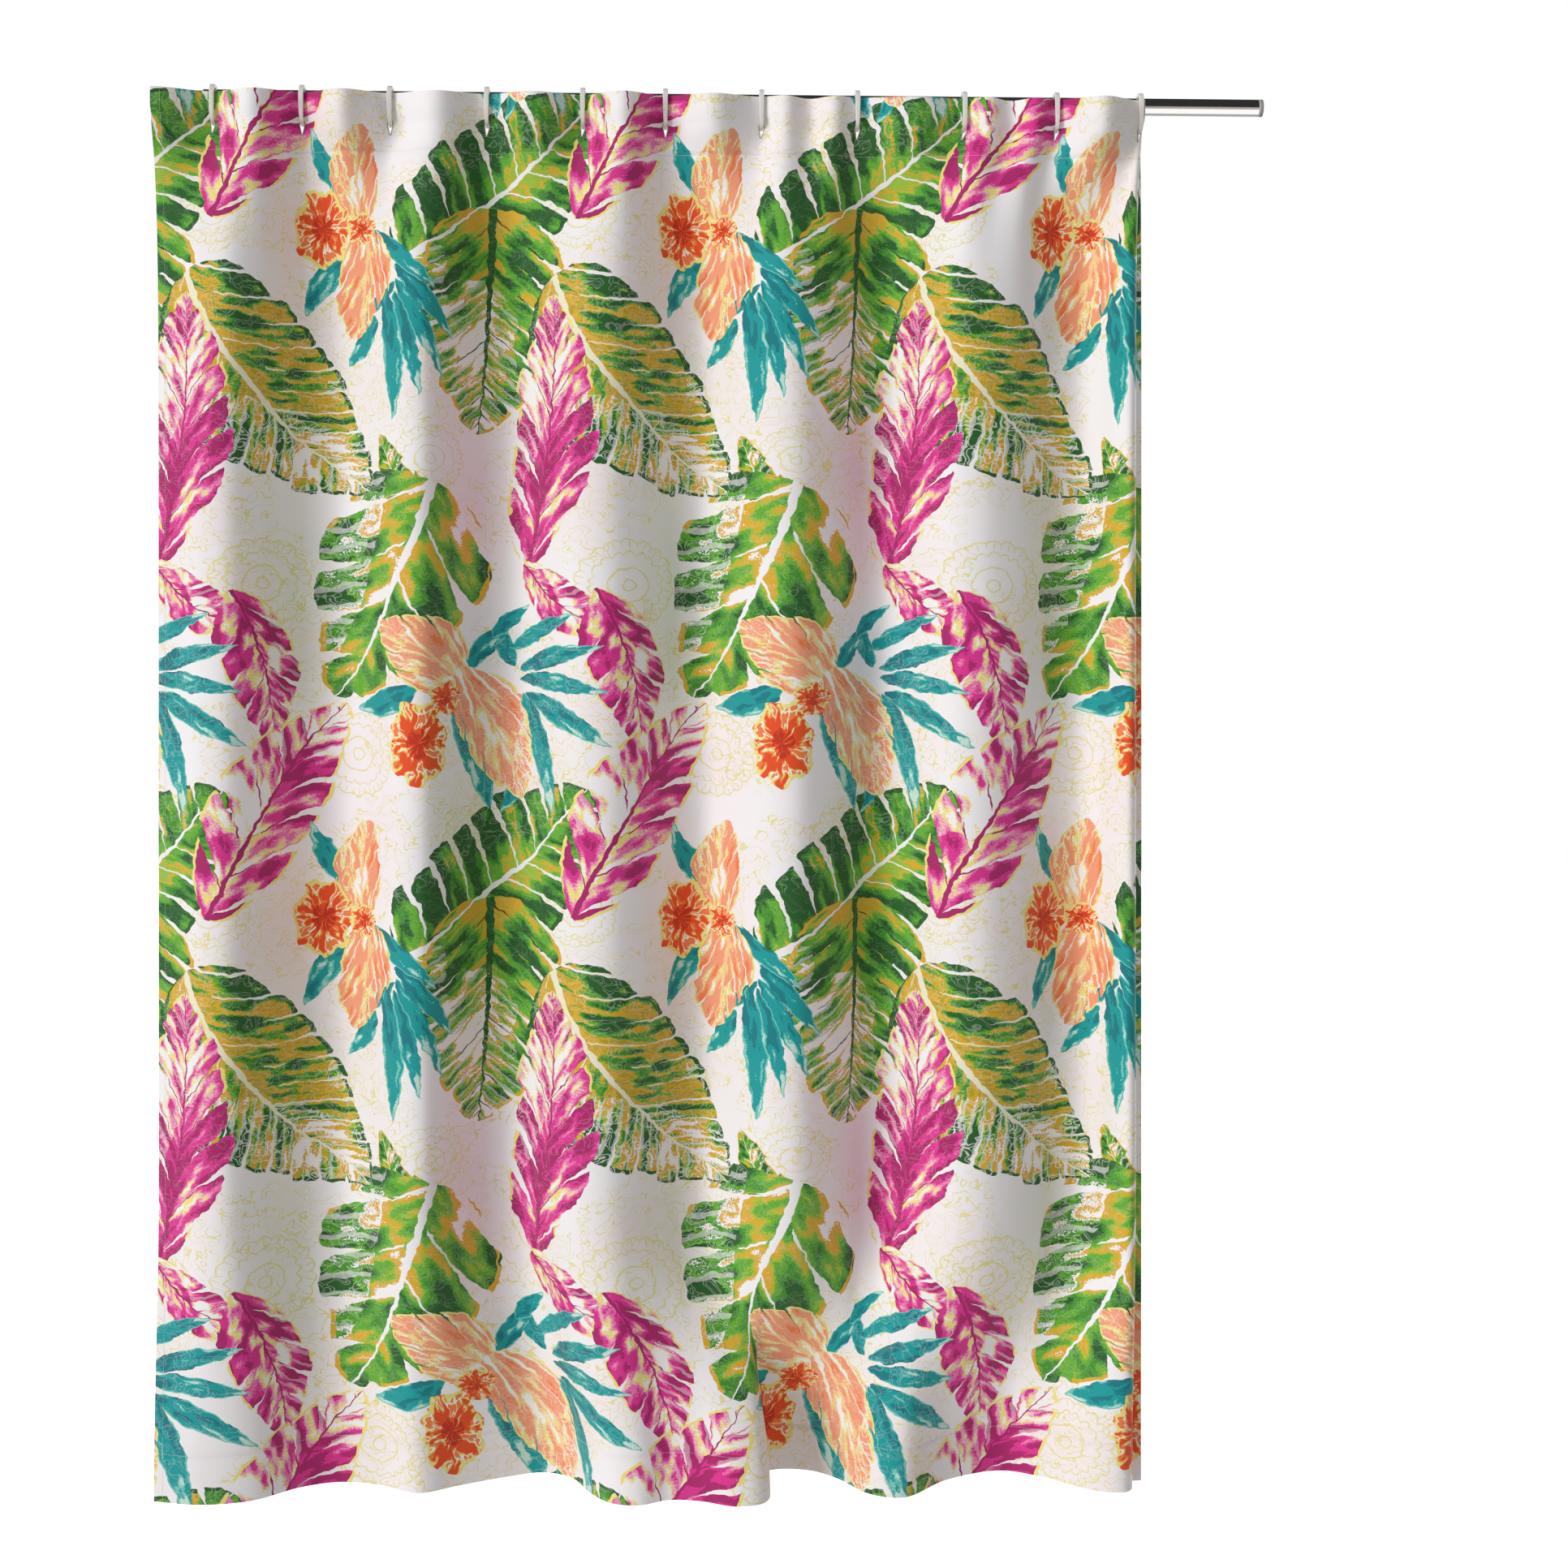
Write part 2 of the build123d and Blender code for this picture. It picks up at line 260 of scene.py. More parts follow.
class ClothShape:
    """Where each point of the flat cloth hangs.

    Flat places are metres across from the left edge and down from the top.
    """

    def __init__(self):
        s = settings()
        self.width = s.ring_pitch * (len(RING_X) - 1) + 2 * s.side_margin
        self.height = CLOTH_TOP - CLOTH_FOOT
        self.rings = [s.side_margin + i * s.ring_pitch for i in range(len(RING_X))]
        self.header = self.gathered(HEADER_DEPTH)
        self.hanging = self.gathered(HANGING_DEPTH)
        self.body = self.by_width(let_out(np.array(BODY_FOLDS) / 1000, self.width))
        self.hem = self.by_width(let_out(np.array(HEM_FOLDS) / 1000, self.width))

    def gathered(self, depth):
        """Plan curve of cloth gathered on the rings, as (place across the flat cloth, X, Y)."""
        s = settings()
        rows = []
        left = np.linspace(0, 1, 21)
        start = RING_X[0] - CLOTH_LEFT
        x = CLOTH_LEFT + start * left
        y = depth - LEFT_CURL * np.sin(np.pi / 2 * (1 - left)) ** 2
        rows.append(np.c_[left * s.side_margin, x, y])
        for i, waves in enumerate(HEADER_SWELLS):
            piece = swelled(RING_X[i], RING_X[i + 1], depth, s.ring_pitch, waves)
            along = arc_lengths(piece)
            rows.append(np.c_[self.rings[i] + along / along[-1] * s.ring_pitch, piece][1:])
        right = np.linspace(0, 1, 21)[1:]
        x = RING_X[-1] + (CLOTH_RIGHT - RING_X[-1]) * np.sin(np.pi / 2 * right)
        y = depth + RIGHT_CURL * (right ** 2) * (depth > HEADER_DEPTH) - RIGHT_LEAN * right
        rows.append(np.c_[self.rings[-1] + right * s.side_margin, x, y])
        return np.vstack(rows)

    def by_width(self, curve):
        along = arc_lengths(curve)
        return np.c_[along / along[-1] * self.width, curve]

    def plan(self, curve, across):
        return np.array([np.interp(across, curve[:, 0], curve[:, k]) for k in (1, 2)])

    def places(self, across, down):
        """X, Y and Z of flat places given as two arrays."""
        z = CLOTH_TOP - down
        header, hanging = self.plan(self.header, across), self.plan(self.hanging, across)
        body, hem = self.plan(self.body, across), self.plan(self.hem, across)
        under_rod = smoothstep(*UNDER_ROD, down)
        into_folds = np.where(down > FOLDS_START, 1 - np.exp(-(down - FOLDS_START) / FOLDS_GROWTH), 0)
        to_hem = smoothstep(*HEM_TURN, down)
        low = body + (hem - body) * to_hem
        upper = header + (hanging - header) * under_rod
        xy = upper + (low - upper) * into_folds
        y = xy[1] + self.hem_relief(down)
        return np.c_[xy[0], y, z - self.sag(across, down) + FORWARD_DROOP * y]

    def hem_relief(self, down):
        """Doubled cloth stands a little forward, and its stitching pulls a groove."""
        s = settings()
        foot = self.height - s.bottom_hem
        doubled = smoothstep(foot, foot + DOUBLED_STEP, down) + 1
        doubled = doubled - smoothstep(s.top_hem - DOUBLED_STEP, s.top_hem, down)
        groove = np.exp(-((down - s.top_hem) / GROOVE_WIDTH) ** 2) + np.exp(-((down - foot) / GROOVE_WIDTH) ** 2)
        return GROOVE_DEPTH * groove - DOUBLED * doubled

    def sag(self, across, down):
        """How far the header droops between two rings."""
        s = settings()
        share = ((across - s.side_margin) / s.ring_pitch) % 1.0
        inside = (across > s.side_margin) & (across < self.width - s.side_margin)
        return HEADER_SAG * np.sin(np.pi * share) ** 2 * inside * np.exp(-down / SAG_FADE)


def grid_lines(low, high, step, extra=()):
    """Evenly spaced values with the extra ones among them, in place of the even ones that they come near."""
    lines = list(np.linspace(low, high, round((high - low) / step) + 1))
    for value in extra:
        lines = [x for x in lines if abs(x - value) > step * 0.45 or x in (low, high)]
    return np.array(sorted(lines + list(extra)))


# The teardrop slit of a buttonhole: half its width, and its top, shoulder, waist and point from the rod's axis down
SLIT_HALF = 0.0027
SLIT_HEIGHTS = (-0.0290, -0.0310, -0.0355, -0.0470)


def make_cloth():
    """The printed cloth as one sheet with a slit for each ring, and its shape for the stitching."""
    shape = ClothShape()
    slits = [CLOTH_TOP - z for z in SLIT_HEIGHTS]
    across = grid_lines(0, shape.width, GRID_ACROSS, [u + k * SLIT_HALF for u in shape.rings for k in (-1, 0, 1)])
    down = grid_lines(0, shape.height, GRID_DOWN, slits + hem_rows(shape))
    middles = [int(np.argmin(abs(across - u))) for u in shape.rings]
    top, shoulder, waist, point = [int(np.argmin(abs(down - v))) for v in slits]
    columns = len(across)
    faces = []
    for r in range(len(down) - 1):
        for c in range(columns - 1):
            a, b = r * columns + c, (r + 1) * columns + c
            face = (a, b, b + 1, a + 1)
            side = -1 if c + 1 in middles else 1 if c in middles else 0
            if side and r == top:
                face = (a, b, a + 1) if side < 0 else (a, b + 1, a + 1)
            elif side and shoulder <= r < waist:
                continue
            elif side and r == waist:
                face = (a, b, b + 1) if side < 0 else (a + 1, b, b + 1)
            faces.append(face)
    used = np.zeros(len(down) * columns, bool)
    used[[i for face in faces for i in face]] = True
    new_index = np.cumsum(used) - 1
    u, v = [axis.ravel()[used] for axis in np.meshgrid(across, down)]
    cloth = mesh_object("curtain_cloth", shape.places(u, v), [[int(new_index[i]) for i in face] for face in faces])
    layer = cloth.data.uv_layers.new(name="flat_cloth")
    index = np.empty(len(cloth.data.loops), int)
    cloth.data.loops.foreach_get("vertex_index", index)
    layer.data.foreach_set("uv", np.c_[u, -v][index].ravel())
    cloth.data.polygons.foreach_set("use_smooth", np.ones(len(cloth.data.polygons), bool))
    return cloth, shape


# Stitches: sides of the thread, where along it is thickest, the share of the pitch that shows, how far the side hems'
# stitches run from the edge and stop from the top and the foot, and the threads' and the lifts' sizes
THREAD_SIDES, THREAD_FULL, STITCH_SHARE = 6, (0.22, 0.78), 0.72
HEM_EDGE, HEM_STOP = 0.012, 0.004
HEM_THREAD, HEM_LIFT = 0.00026, 0.0002
BOUND_THREAD, BOUND_LIFT = 0.00034, 0.0003
# The close stitches round a buttonhole: the first one's place, their pitch, and how far in and out they reach
BOUND_START, BOUND_PITCH, BOUND_IN, BOUND_OUT = 0.35e-3, 0.75e-3, 0.0003, 0.0016


def hem_rows(shape):
    """Rows of the cloth's grid on either side of each hem's stitching."""
    s = settings()
    return [line + k * SEAM_ROW for line in (s.top_hem, shape.height - s.bottom_hem) for k in (-1, 0, 1)]


def stitch_ends(start, end, pitch, length):
    """Where a run of stitches between two flat places goes in and comes out."""
    start, end = np.array(start, float), np.array(end, float)
    run = np.hypot(*(end - start))
    way = (end - start) / run
    middles = np.arange(pitch / 2, run, pitch)[:, None] * way + start
    return middles - way * length / 2, middles + way * length / 2


def make_stitches(name, shape, ends, radius, lift):
    """Thread stitches on the cloth, each a small spindle from where it goes in to where it comes out."""
    goes_in, comes_out = [np.vstack([pair[k] for pair in ends]) for k in (0, 1)]

    def on_cloth(flat):
        return shape.places(*np.clip(flat, 0, (shape.width, shape.height)).T)

    middle, tiny = (goes_in + comes_out) / 2, 0.0008
    right = on_cloth(middle + (tiny, 0)) - on_cloth(middle - (tiny, 0))
    downwards = on_cloth(middle + (0, tiny)) - on_cloth(middle - (0, tiny))
    out = np.cross(downwards, right)
    out /= np.linalg.norm(out, axis=1)[:, None]
    first, last = on_cloth(goes_in), on_cloth(comes_out)
    along = (last - first) / np.linalg.norm(last - first, axis=1)[:, None]
    sideways = np.cross(along, out)
    vertices, faces = [], []
    for i in range(len(first)):
        base = len(vertices)
        vertices.append(first[i])
        for share in THREAD_FULL:
            centre = first[i] + (last[i] - first[i]) * share + out[i] * lift
            for k in range(THREAD_SIDES):
                turn = k * 2 * math.pi / THREAD_SIDES
                vertices.append(centre + radius * (math.cos(turn) * sideways[i] + math.sin(turn) * out[i]))
        vertices.append(last[i])
        for k in range(THREAD_SIDES):
            a, b = base + 1 + k, base + 1 + (k + 1) % THREAD_SIDES
            c, d, end = a + THREAD_SIDES, b + THREAD_SIDES, base + 1 + 2 * THREAD_SIDES
            faces += [(base, b, a), (a, b, d, c), (c, d, end)]
    thread = mesh_object(name, vertices, faces)
    thread.data.polygons.foreach_set("use_smooth", np.ones(len(faces), bool))
    return thread


def buttonhole_stitches(shape):
    """The close stitches that bind each slit's edge."""
    slits = [CLOTH_TOP - z for z in SLIT_HEIGHTS]
    rim = [(0, slits[0]), (SLIT_HALF, slits[1]), (SLIT_HALF, slits[2]), (0, slits[3]), (-SLIT_HALF, slits[2]),
           (-SLIT_HALF, slits[1]), (0, slits[0])]
    ends = []
    for u in shape.rings:
        for (x0, y0), (x1, y1) in zip(rim, rim[1:]):
            run = math.hypot(x1 - x0, y1 - y0)
            outward = np.array([(y1 - y0), -(x1 - x0)]) / run
            for step in np.arange(BOUND_START, run, BOUND_PITCH):
                at = np.array([u + x0 + (x1 - x0) * step / run, y0 + (y1 - y0) * step / run])
                ends.append((at[None] - outward * BOUND_IN, at[None] + outward * BOUND_OUT))
    return ends


# ---------------------------------------------------------------- shader fields

class Field:
    """A number that varies over the cloth: the output of a node, which arithmetic turns into more nodes."""

    def __init__(self, tree, socket):
        self.tree, self.socket = tree, socket

    def op(self, kind, *others, first=None):
        node = self.tree.nodes.new("ShaderNodeMath")
        node.operation = kind
        values = (self, *others) if first is None else (first, self)
        for i, value in enumerate(values):
            feed(self.tree, node.inputs[i], value)
        return Field(self.tree, node.outputs[0])

    def __add__(self, other): return self.op("ADD", other)
    def __radd__(self, other): return self.op("ADD", other)
    def __sub__(self, other): return self.op("SUBTRACT", other)
    def __rsub__(self, other): return self.op("SUBTRACT", first=other)
    def __mul__(self, other): return self.op("MULTIPLY", other)
    def __rmul__(self, other): return self.op("MULTIPLY", other)
    def __truediv__(self, other): return self.op("DIVIDE", other)
    def __pow__(self, other): return self.op("POWER", other)
    def __abs__(self): return self.op("ABSOLUTE")
    def __lt__(self, other): return self.op("LESS_THAN", other)
    def __gt__(self, other): return self.op("GREATER_THAN", other)

    def clamped(self):
        result = self.op("ADD", 0.0)
        result.socket.node.use_clamp = True
        return result


def feed(tree, socket, value):
    """Gives a socket a field, a socket or a plain value."""
    if isinstance(value, Field):
        tree.links.new(value.socket, socket)
    elif isinstance(value, bpy.types.NodeSocket):
        tree.links.new(value, socket)
    elif value is not None:
        socket.default_value = value


def vector(tree, x=0.0, y=0.0, z=0.0):
    node = tree.nodes.new("ShaderNodeCombineXYZ")
    for socket, value in zip(node.inputs, (x, y, z)):
        feed(tree, socket, value)
    return node.outputs[0]


def vector_op(tree, kind, *values):
    node = tree.nodes.new("ShaderNodeVectorMath")
    node.operation = kind
    for socket, value in zip(node.inputs, values):
        feed(tree, socket, value)
    return node.outputs[0]


def parts_of(tree, socket):
    node = tree.nodes.new("ShaderNodeSeparateXYZ")
    feed(tree, node.inputs[0], socket)
    return [Field(tree, out) for out in node.outputs]


def cloud(tree, place, scale, detail=1.0, roughness=0.6):
    """Soft noise from 0 to 1."""
    node = tree.nodes.new("ShaderNodeTexNoise")
    node.noise_dimensions = "3D"
    feed(tree, node.inputs["Vector"], place)
    node.inputs["Scale"].default_value = scale
    node.inputs["Detail"].default_value = detail
    node.inputs["Roughness"].default_value = roughness
    return Field(tree, node.outputs["Fac"])


def chance(tree, number, seed):
    """A random number from 0 to 1 for each whole number."""
    node = tree.nodes.new("ShaderNodeTexWhiteNoise")
    node.noise_dimensions = "2D"
    feed(tree, node.inputs["Vector"], vector(tree, number, seed))
    return Field(tree, node.outputs["Value"])


def mixed(tree, share, below, above):
    node = tree.nodes.new("ShaderNodeMix")
    node.data_type = "RGBA"
    feed(tree, node.inputs["Factor"], share)
    for socket, value in ((node.inputs[6], below), (node.inputs[7], above)):
        feed(tree, socket, value)
    return node.outputs[2]


def paints(tree, tone, stops):
    """Flat patches of paint along a tone, as (start, colour)."""
    node = tree.nodes.new("ShaderNodeValToRGB")
    node.color_ramp.interpolation = "CONSTANT"
    feed(tree, node.inputs[0], tone)
    ramp = node.color_ramp.elements
    while len(ramp) < len(stops):
        ramp.new(1.0)
    for element, (start, colour) in zip(ramp, stops):
        element.position = start
        element.color = colour
    return node.outputs[0]


def paint(red, green, blue):
    """A colour from its 0 to 255 display values."""
    def linear(c):
        c /= 255
        return c / 12.92 if c <= 0.04045 else ((c + 0.055) / 1.055) ** 2.4
    return (linear(red), linear(green), linear(blue), 1.0)


GROUND = paint(246, 242, 243)
LINE_ART = paint(232, 220, 130)
CREAM = paint(240, 235, 205)
DARK_GREEN, LEAF_GREEN = paint(30, 92, 30), paint(66, 142, 40)
FRESH_GREEN, LIME = paint(100, 172, 46), paint(156, 190, 54)
GOLD, OLIVE, LEMON = paint(220, 172, 38), paint(176, 160, 40), paint(240, 226, 128)
DEEP_MAGENTA, MAGENTA = paint(172, 28, 104), paint(220, 48, 142)
PINK, PALE_PINK = paint(236, 112, 172), paint(242, 176, 196)
DEEP_ORANGE, ORANGE_RED, ORANGE = paint(196, 48, 16), paint(234, 78, 24), paint(244, 128, 66)
CORAL, PEACH = paint(244, 158, 120), paint(248, 204, 150)
TEAL, DARK_TEAL = paint(8, 154, 154), paint(4, 122, 130)
SEA_GREEN, MIST = paint(110, 196, 184), paint(196, 226, 214)

# Each kind of motif: its paints along the tone, the paints of its second zone, how the zone's border depends on
# the place along and across the motif and where it lies, and the colours of its edge and of its midrib
PALETTES = {
    "broad_leaf": (
        [(0, DARK_GREEN), (0.37, LEAF_GREEN), (0.50, FRESH_GREEN), (0.68, LIME), (0.75, GOLD), (0.84, LIME)],
        [(0, DARK_GREEN), (0.46, LEAF_GREEN), (0.60, FRESH_GREEN), (0.70, GOLD), (0.82, FRESH_GREEN)],
        (0.5, 0.6, 0.42), DARK_GREEN, GROUND,
    ),
    "gold_leaf": (
        [(0, DARK_GREEN), (0.36, LEAF_GREEN), (0.45, FRESH_GREEN), (0.52, GOLD), (0.66, OLIVE), (0.74, GOLD)],
        [(0, DARK_GREEN), (0.47, LEAF_GREEN), (0.58, LIME), (0.66, GOLD), (0.84, GROUND)],
        (1.0, -0.25, 0.52), DARK_GREEN, CREAM,
    ),
    "palm_leaf": (
        [(0, DARK_GREEN), (0.38, LEAF_GREEN), (0.50, FRESH_GREEN), (0.64, LIME), (0.70, GOLD)],
        [(0, DARK_GREEN), (0.34, LEAF_GREEN), (0.44, FRESH_GREEN), (0.54, LIME), (0.60, GOLD), (0.68, GROUND)],
        (1.0, -0.35, 0.44), GOLD, DARK_GREEN,
    ),
    "lobed_leaf": (
        [(0, DARK_GREEN), (0.36, LEAF_GREEN), (0.50, FRESH_GREEN), (0.64, LIME), (0.71, GOLD), (0.88, GROUND)],
        [(0, DARK_GREEN), (0.36, FRESH_GREEN), (0.47, LEAF_GREEN), (0.55, GROUND), (0.61, GOLD), (0.72, GROUND)],
        (0.2, -0.9, 0.42), GOLD, GROUND,
    ),
    "feather_leaf": (
        [(0, DEEP_MAGENTA), (0.36, MAGENTA), (0.56, PINK), (0.66, PALE_PINK), (0.72, LEMON), (0.84, GROUND)],
        [(0, DEEP_MAGENTA), (0.34, MAGENTA), (0.48, PINK), (0.55, PALE_PINK), (0.61, LEMON), (0.69, GROUND)],
        (0.8, 0.5, 0.44), LEMON, DEEP_MAGENTA,
    ),
    "petal": (
        [(0, ORANGE), (0.30, CORAL), (0.62, PEACH), (0.70, LEMON), (0.78, GROUND)],
        [(0, CORAL), (0.48, PEACH), (0.55, GROUND), (0.60, LEMON), (0.70, CORAL)],
        (1.0, 0.5, 0.74), LEMON, PEACH,
    ),
    "blade": (
        [(0, DARK_TEAL), (0.36, TEAL), (0.70, SEA_GREEN), (0.80, MIST)],
        [(0, TEAL), (0.46, SEA_GREEN), (0.66, MIST)],
        (1.0, 0.0, 0.86), SEA_GREEN, SEA_GREEN,
    ),
    "lip": (
        [(0, DEEP_ORANGE), (0.40, ORANGE_RED), (0.58, ORANGE), (0.66, LEMON), (0.74, ORANGE_RED)],
        [(0, ORANGE_RED), (0.46, ORANGE), (0.54, LEMON), (0.60, GROUND), (0.66, ORANGE)],
        (0.0, 0.9, 0.30), LEMON, ORANGE_RED,
    ),
}

# Where each leafy kind is widest (1 is past the middle) and how strong the pale hatching of its second zone is
SHAPES = {
    "broad_leaf": (0.85, 0.0), "gold_leaf": (0.72, 0.5), "palm_leaf": (0.68, 0.40), "lobed_leaf": (0.58, 0.45),
    "feather_leaf": (0.90, 0.30), "petal": (0.80, 0.0),
}

# Print places are those on the flat cloth, narrowed by this share, as the gathers narrow them, and drawn out by the
# second one downwards from a line a little under the top edge
GATHERED_SHARE = 1 / 1.294
PRINT_DROP = 1.0166
PRINT_TOP = -0.008
REPEAT = (0.462, 0.9125, 1.0)

# The motifs of one repeat, each list over the one before and each motif over those before it.
# Leaves: kind, stalk, tip, width, bend, ribs, lean, notch, lace
LEAVES = [
    ("lobed_leaf", (0.782, -0.532), (0.736, -0.438), 0.052, 0.004, 4, 0.3, 0.0, 0.0),
    ("lobed_leaf", (0.802, -0.500), (0.672, -0.785), 0.240, 0.016, 4, 0.40, 0.34, 0.3),
    ("broad_leaf", (0.768, -0.212), (1.006, 0.012), 0.232, -0.016, 9, 0.24, 0.22, 0.15),
    ("palm_leaf", (0.880, -0.138), (0.866, -0.436), 0.205, 0.004, 8, 0.36, 0.24, 0.2),
    ("gold_leaf", (0.500, -0.228), (0.716, -0.514), 0.208, -0.030, 10, 0.32, 0.14, 0.6),
    ("feather_leaf", (0.460, -0.612), (0.500, -0.254), 0.126, -0.016, 7, 0.34, 0.24, 0.25),
    ("feather_leaf", (0.455, -0.608), (0.580, -0.690), 0.074, -0.014, 4, 0.34, 0.18, 0.0),
    ("feather_leaf", (0.552, -0.640), (0.602, -0.840), 0.096, 0.012, 5, 0.36, 0.22, 0.0),
    ("feather_leaf", (0.528, -1.070), (0.684, -0.792), 0.146, 0.014, 6, 0.34, 0.24, 0.0),
]
# Blades: stalk, tip, width, bend, lace
BLADES = [
    ((0.729, -0.283), (0.686, -0.347), 0.025, 0.003, 0.0), ((0.760, -0.240), (0.693, -0.292), 0.016, 0.004, 0.0),
    ((0.760, -0.217), (0.828, -0.314), 0.021, 0.003, 0.0), ((0.761, -0.235), (0.814, -0.366), 0.020, 0.003, 0.0),
    ((0.758, -0.250), (0.788, -0.389), 0.020, 0.003, 0.0), ((0.746, -0.250), (0.758, -0.422), 0.030, 0.004, 0.0),
    ((0.722, -0.170), (0.806, -0.248), 0.023, 0.004, 0.0), ((0.688, -0.124), (0.646, -0.038), 0.026, 0.004, 0.0),
    ((0.692, -0.189), (0.640, -0.282), 0.030, -0.005, 0.0), ((0.905, -0.745), (0.890, -0.682), 0.020, 0.003, 0.3),
    ((0.850, -0.748), (0.900, -0.690), 0.026, 0.003, 0.0), ((0.882, -0.705), (0.924, -0.663), 0.018, 0.003, 0.0),
    ((0.900, -0.722), (0.992, -0.672), 0.021, 0.004, 0.4), ((0.912, -0.748), (1.022, -0.714), 0.025, 0.004, 0.5),
    ((0.912, -0.760), (1.026, -0.774), 0.025, 0.004, 0.5), ((0.918, -0.778), (1.030, -0.846), 0.030, 0.005, 0.4),
    ((0.915, -0.780), (0.962, -0.936), 0.031, 0.006, 0.4), ((0.829, -0.795), (0.880, -0.935), 0.036, 0.006, 0.5),
    ((0.914, -0.870), (0.890, -0.940), 0.018, 0.003, 0.0), ((0.786, -0.770), (0.698, -0.798), 0.036, 0.006, 0.0),
]
# Petals: stalk, tip, width, bend, notch, lace
PETALS = [
    ((0.706, -0.160), (0.716, -0.034), 0.076, 0.006, 0.10, 0.0),
    ((0.716, -0.165), (0.694, -0.312), 0.084, 0.006, 0.14, 0.0),
    ((0.842, -0.768), (0.736, -0.684), 0.100, -0.008, 0.12, 0.3),
    ((0.840, -0.745), (0.914, -0.918), 0.092, 0.010, 0.14, 0.7),
]
# Lips: top, foot, width, frills
LIPS = [
    ((0.659, -0.112), (0.659, -0.220), 0.070, 7), ((0.712, -0.146), (0.705, -0.190), 0.042, 5),
    ((0.786, -0.780), (0.786, -0.900), 0.072, 7), ((0.822, -0.758), (0.815, -0.806), 0.046, 5),
]
PETAL_RIBS, PETAL_LEAN = 2.4, 1.0
MOTIFS = (
    LEAVES
    + [("blade", *shape, 0, 0, 0, lace) for *shape, lace in BLADES]
    + [("petal", *shape, PETAL_RIBS, PETAL_LEAN, notch, lace) for *shape, notch, lace in PETALS]
    + [("lip", *shape, 0.0, frills, 0, 0, 0) for *shape, frills in LIPS]
)
# The pale line-drawn rosettes on the ground: middle, radius
ROSETTES = [
    ((0.588, -0.634), 0.062), ((0.700, -0.860), 0.058), ((0.862, -0.060), 0.050), ((0.530, -0.150), 0.045),
    ((0.640, -0.400), 0.055), ((0.800, -0.470), 0.045),
]


# Group sockets that carry a place or a colour; the others carry a number
PLACE_SOCKETS, COLOUR_SOCKETS = ("Place", "Middle", "Map"), ("Below", "Color")


def shader_group(name, inputs, outputs):
    """A node group with the named sockets, and the fields of its inputs."""
    tree = bpy.data.node_groups.new(name, "ShaderNodeTree")
    for way, titles in (("INPUT", inputs), ("OUTPUT", outputs)):
        for title in titles:
            kind = "Vector" if title in PLACE_SOCKETS else "Color" if title in COLOUR_SOCKETS else "Float"
            tree.interface.new_socket(title, in_out=way, socket_type="NodeSocket" + kind)
    entry, way_out = tree.nodes.new("NodeGroupInput"), tree.nodes.new("NodeGroupOutput")
    fields = {title: Field(tree, entry.outputs[title]) for title in inputs}
    return tree, fields, way_out.inputs


def put_out(tree, out, **fields):
    """Feeds a group's outputs and gives back the group."""
    for title, field in fields.items():
        feed(tree, out[title], field)
    return tree


def use_group(tree, group, **values):
    node = tree.nodes.new("ShaderNodeGroup")
    node.node_tree = group
    for title, value in values.items():
        feed(tree, node.inputs[title.replace("_", " ")], value)
    return node.outputs


SPACE_INPUTS = ["Place", "Middle", "Angle", "Length", "Width", "Bend"]
MOTIF_INPUTS = SPACE_INPUTS + ["Seed"]
PAINT_OUTPUTS = ["Mask", "Tone", "Fringe", "Zone", "Side"]
# Scale of the fine grain of the ink
INK_GRAIN = 420.0


def nearest(tree, place, middle):
    """The way from a motif's middle to a place, taken from whichever repeat of the motif is nearest."""
    half = tuple(x / 2 for x in REPEAT)
    return vector_op(tree, "WRAP", vector_op(tree, "SUBTRACT", place, middle), half, tuple(-x for x in half))


def motif_space_group():
    """Places on the print as seen from one motif: along it from 0 to 1 and across it from -1 to 1."""
    tree, given, out = shader_group("motif_space", SPACE_INPUTS, ["Along", "Across"])
    turn = tree.nodes.new("ShaderNodeVectorRotate")
    turn.rotation_type = "Z_AXIS"
    tree.links.new(nearest(tree, given["Place"], given["Middle"]), turn.inputs["Vector"])
    feed(tree, turn.inputs["Angle"], given["Angle"] * -1.0)
    x, y, _ = parts_of(tree, turn.outputs[0])
    along = x / given["Length"] + 0.5
    bow = given["Bend"] * 4.0 * along * (1.0 - along)
    return put_out(tree, out, Along=along, Across=(y - bow) * 2.0 / given["Width"])


def in_motif(tree, space, given):
    """Fields along and across a motif at the given place."""
    seen = use_group(tree, space, **{title: given[title] for title in SPACE_INPUTS})
    return Field(tree, seen["Along"]), Field(tree, seen["Across"])


def spread(tone, *shifts):
    """A soft noise stretched about its middle, with smaller shifts added."""
    result = (tone - 0.5) * 1.5 + 0.5
    for amount, field in shifts:
        result = result + (field - 0.5) * amount
    return result


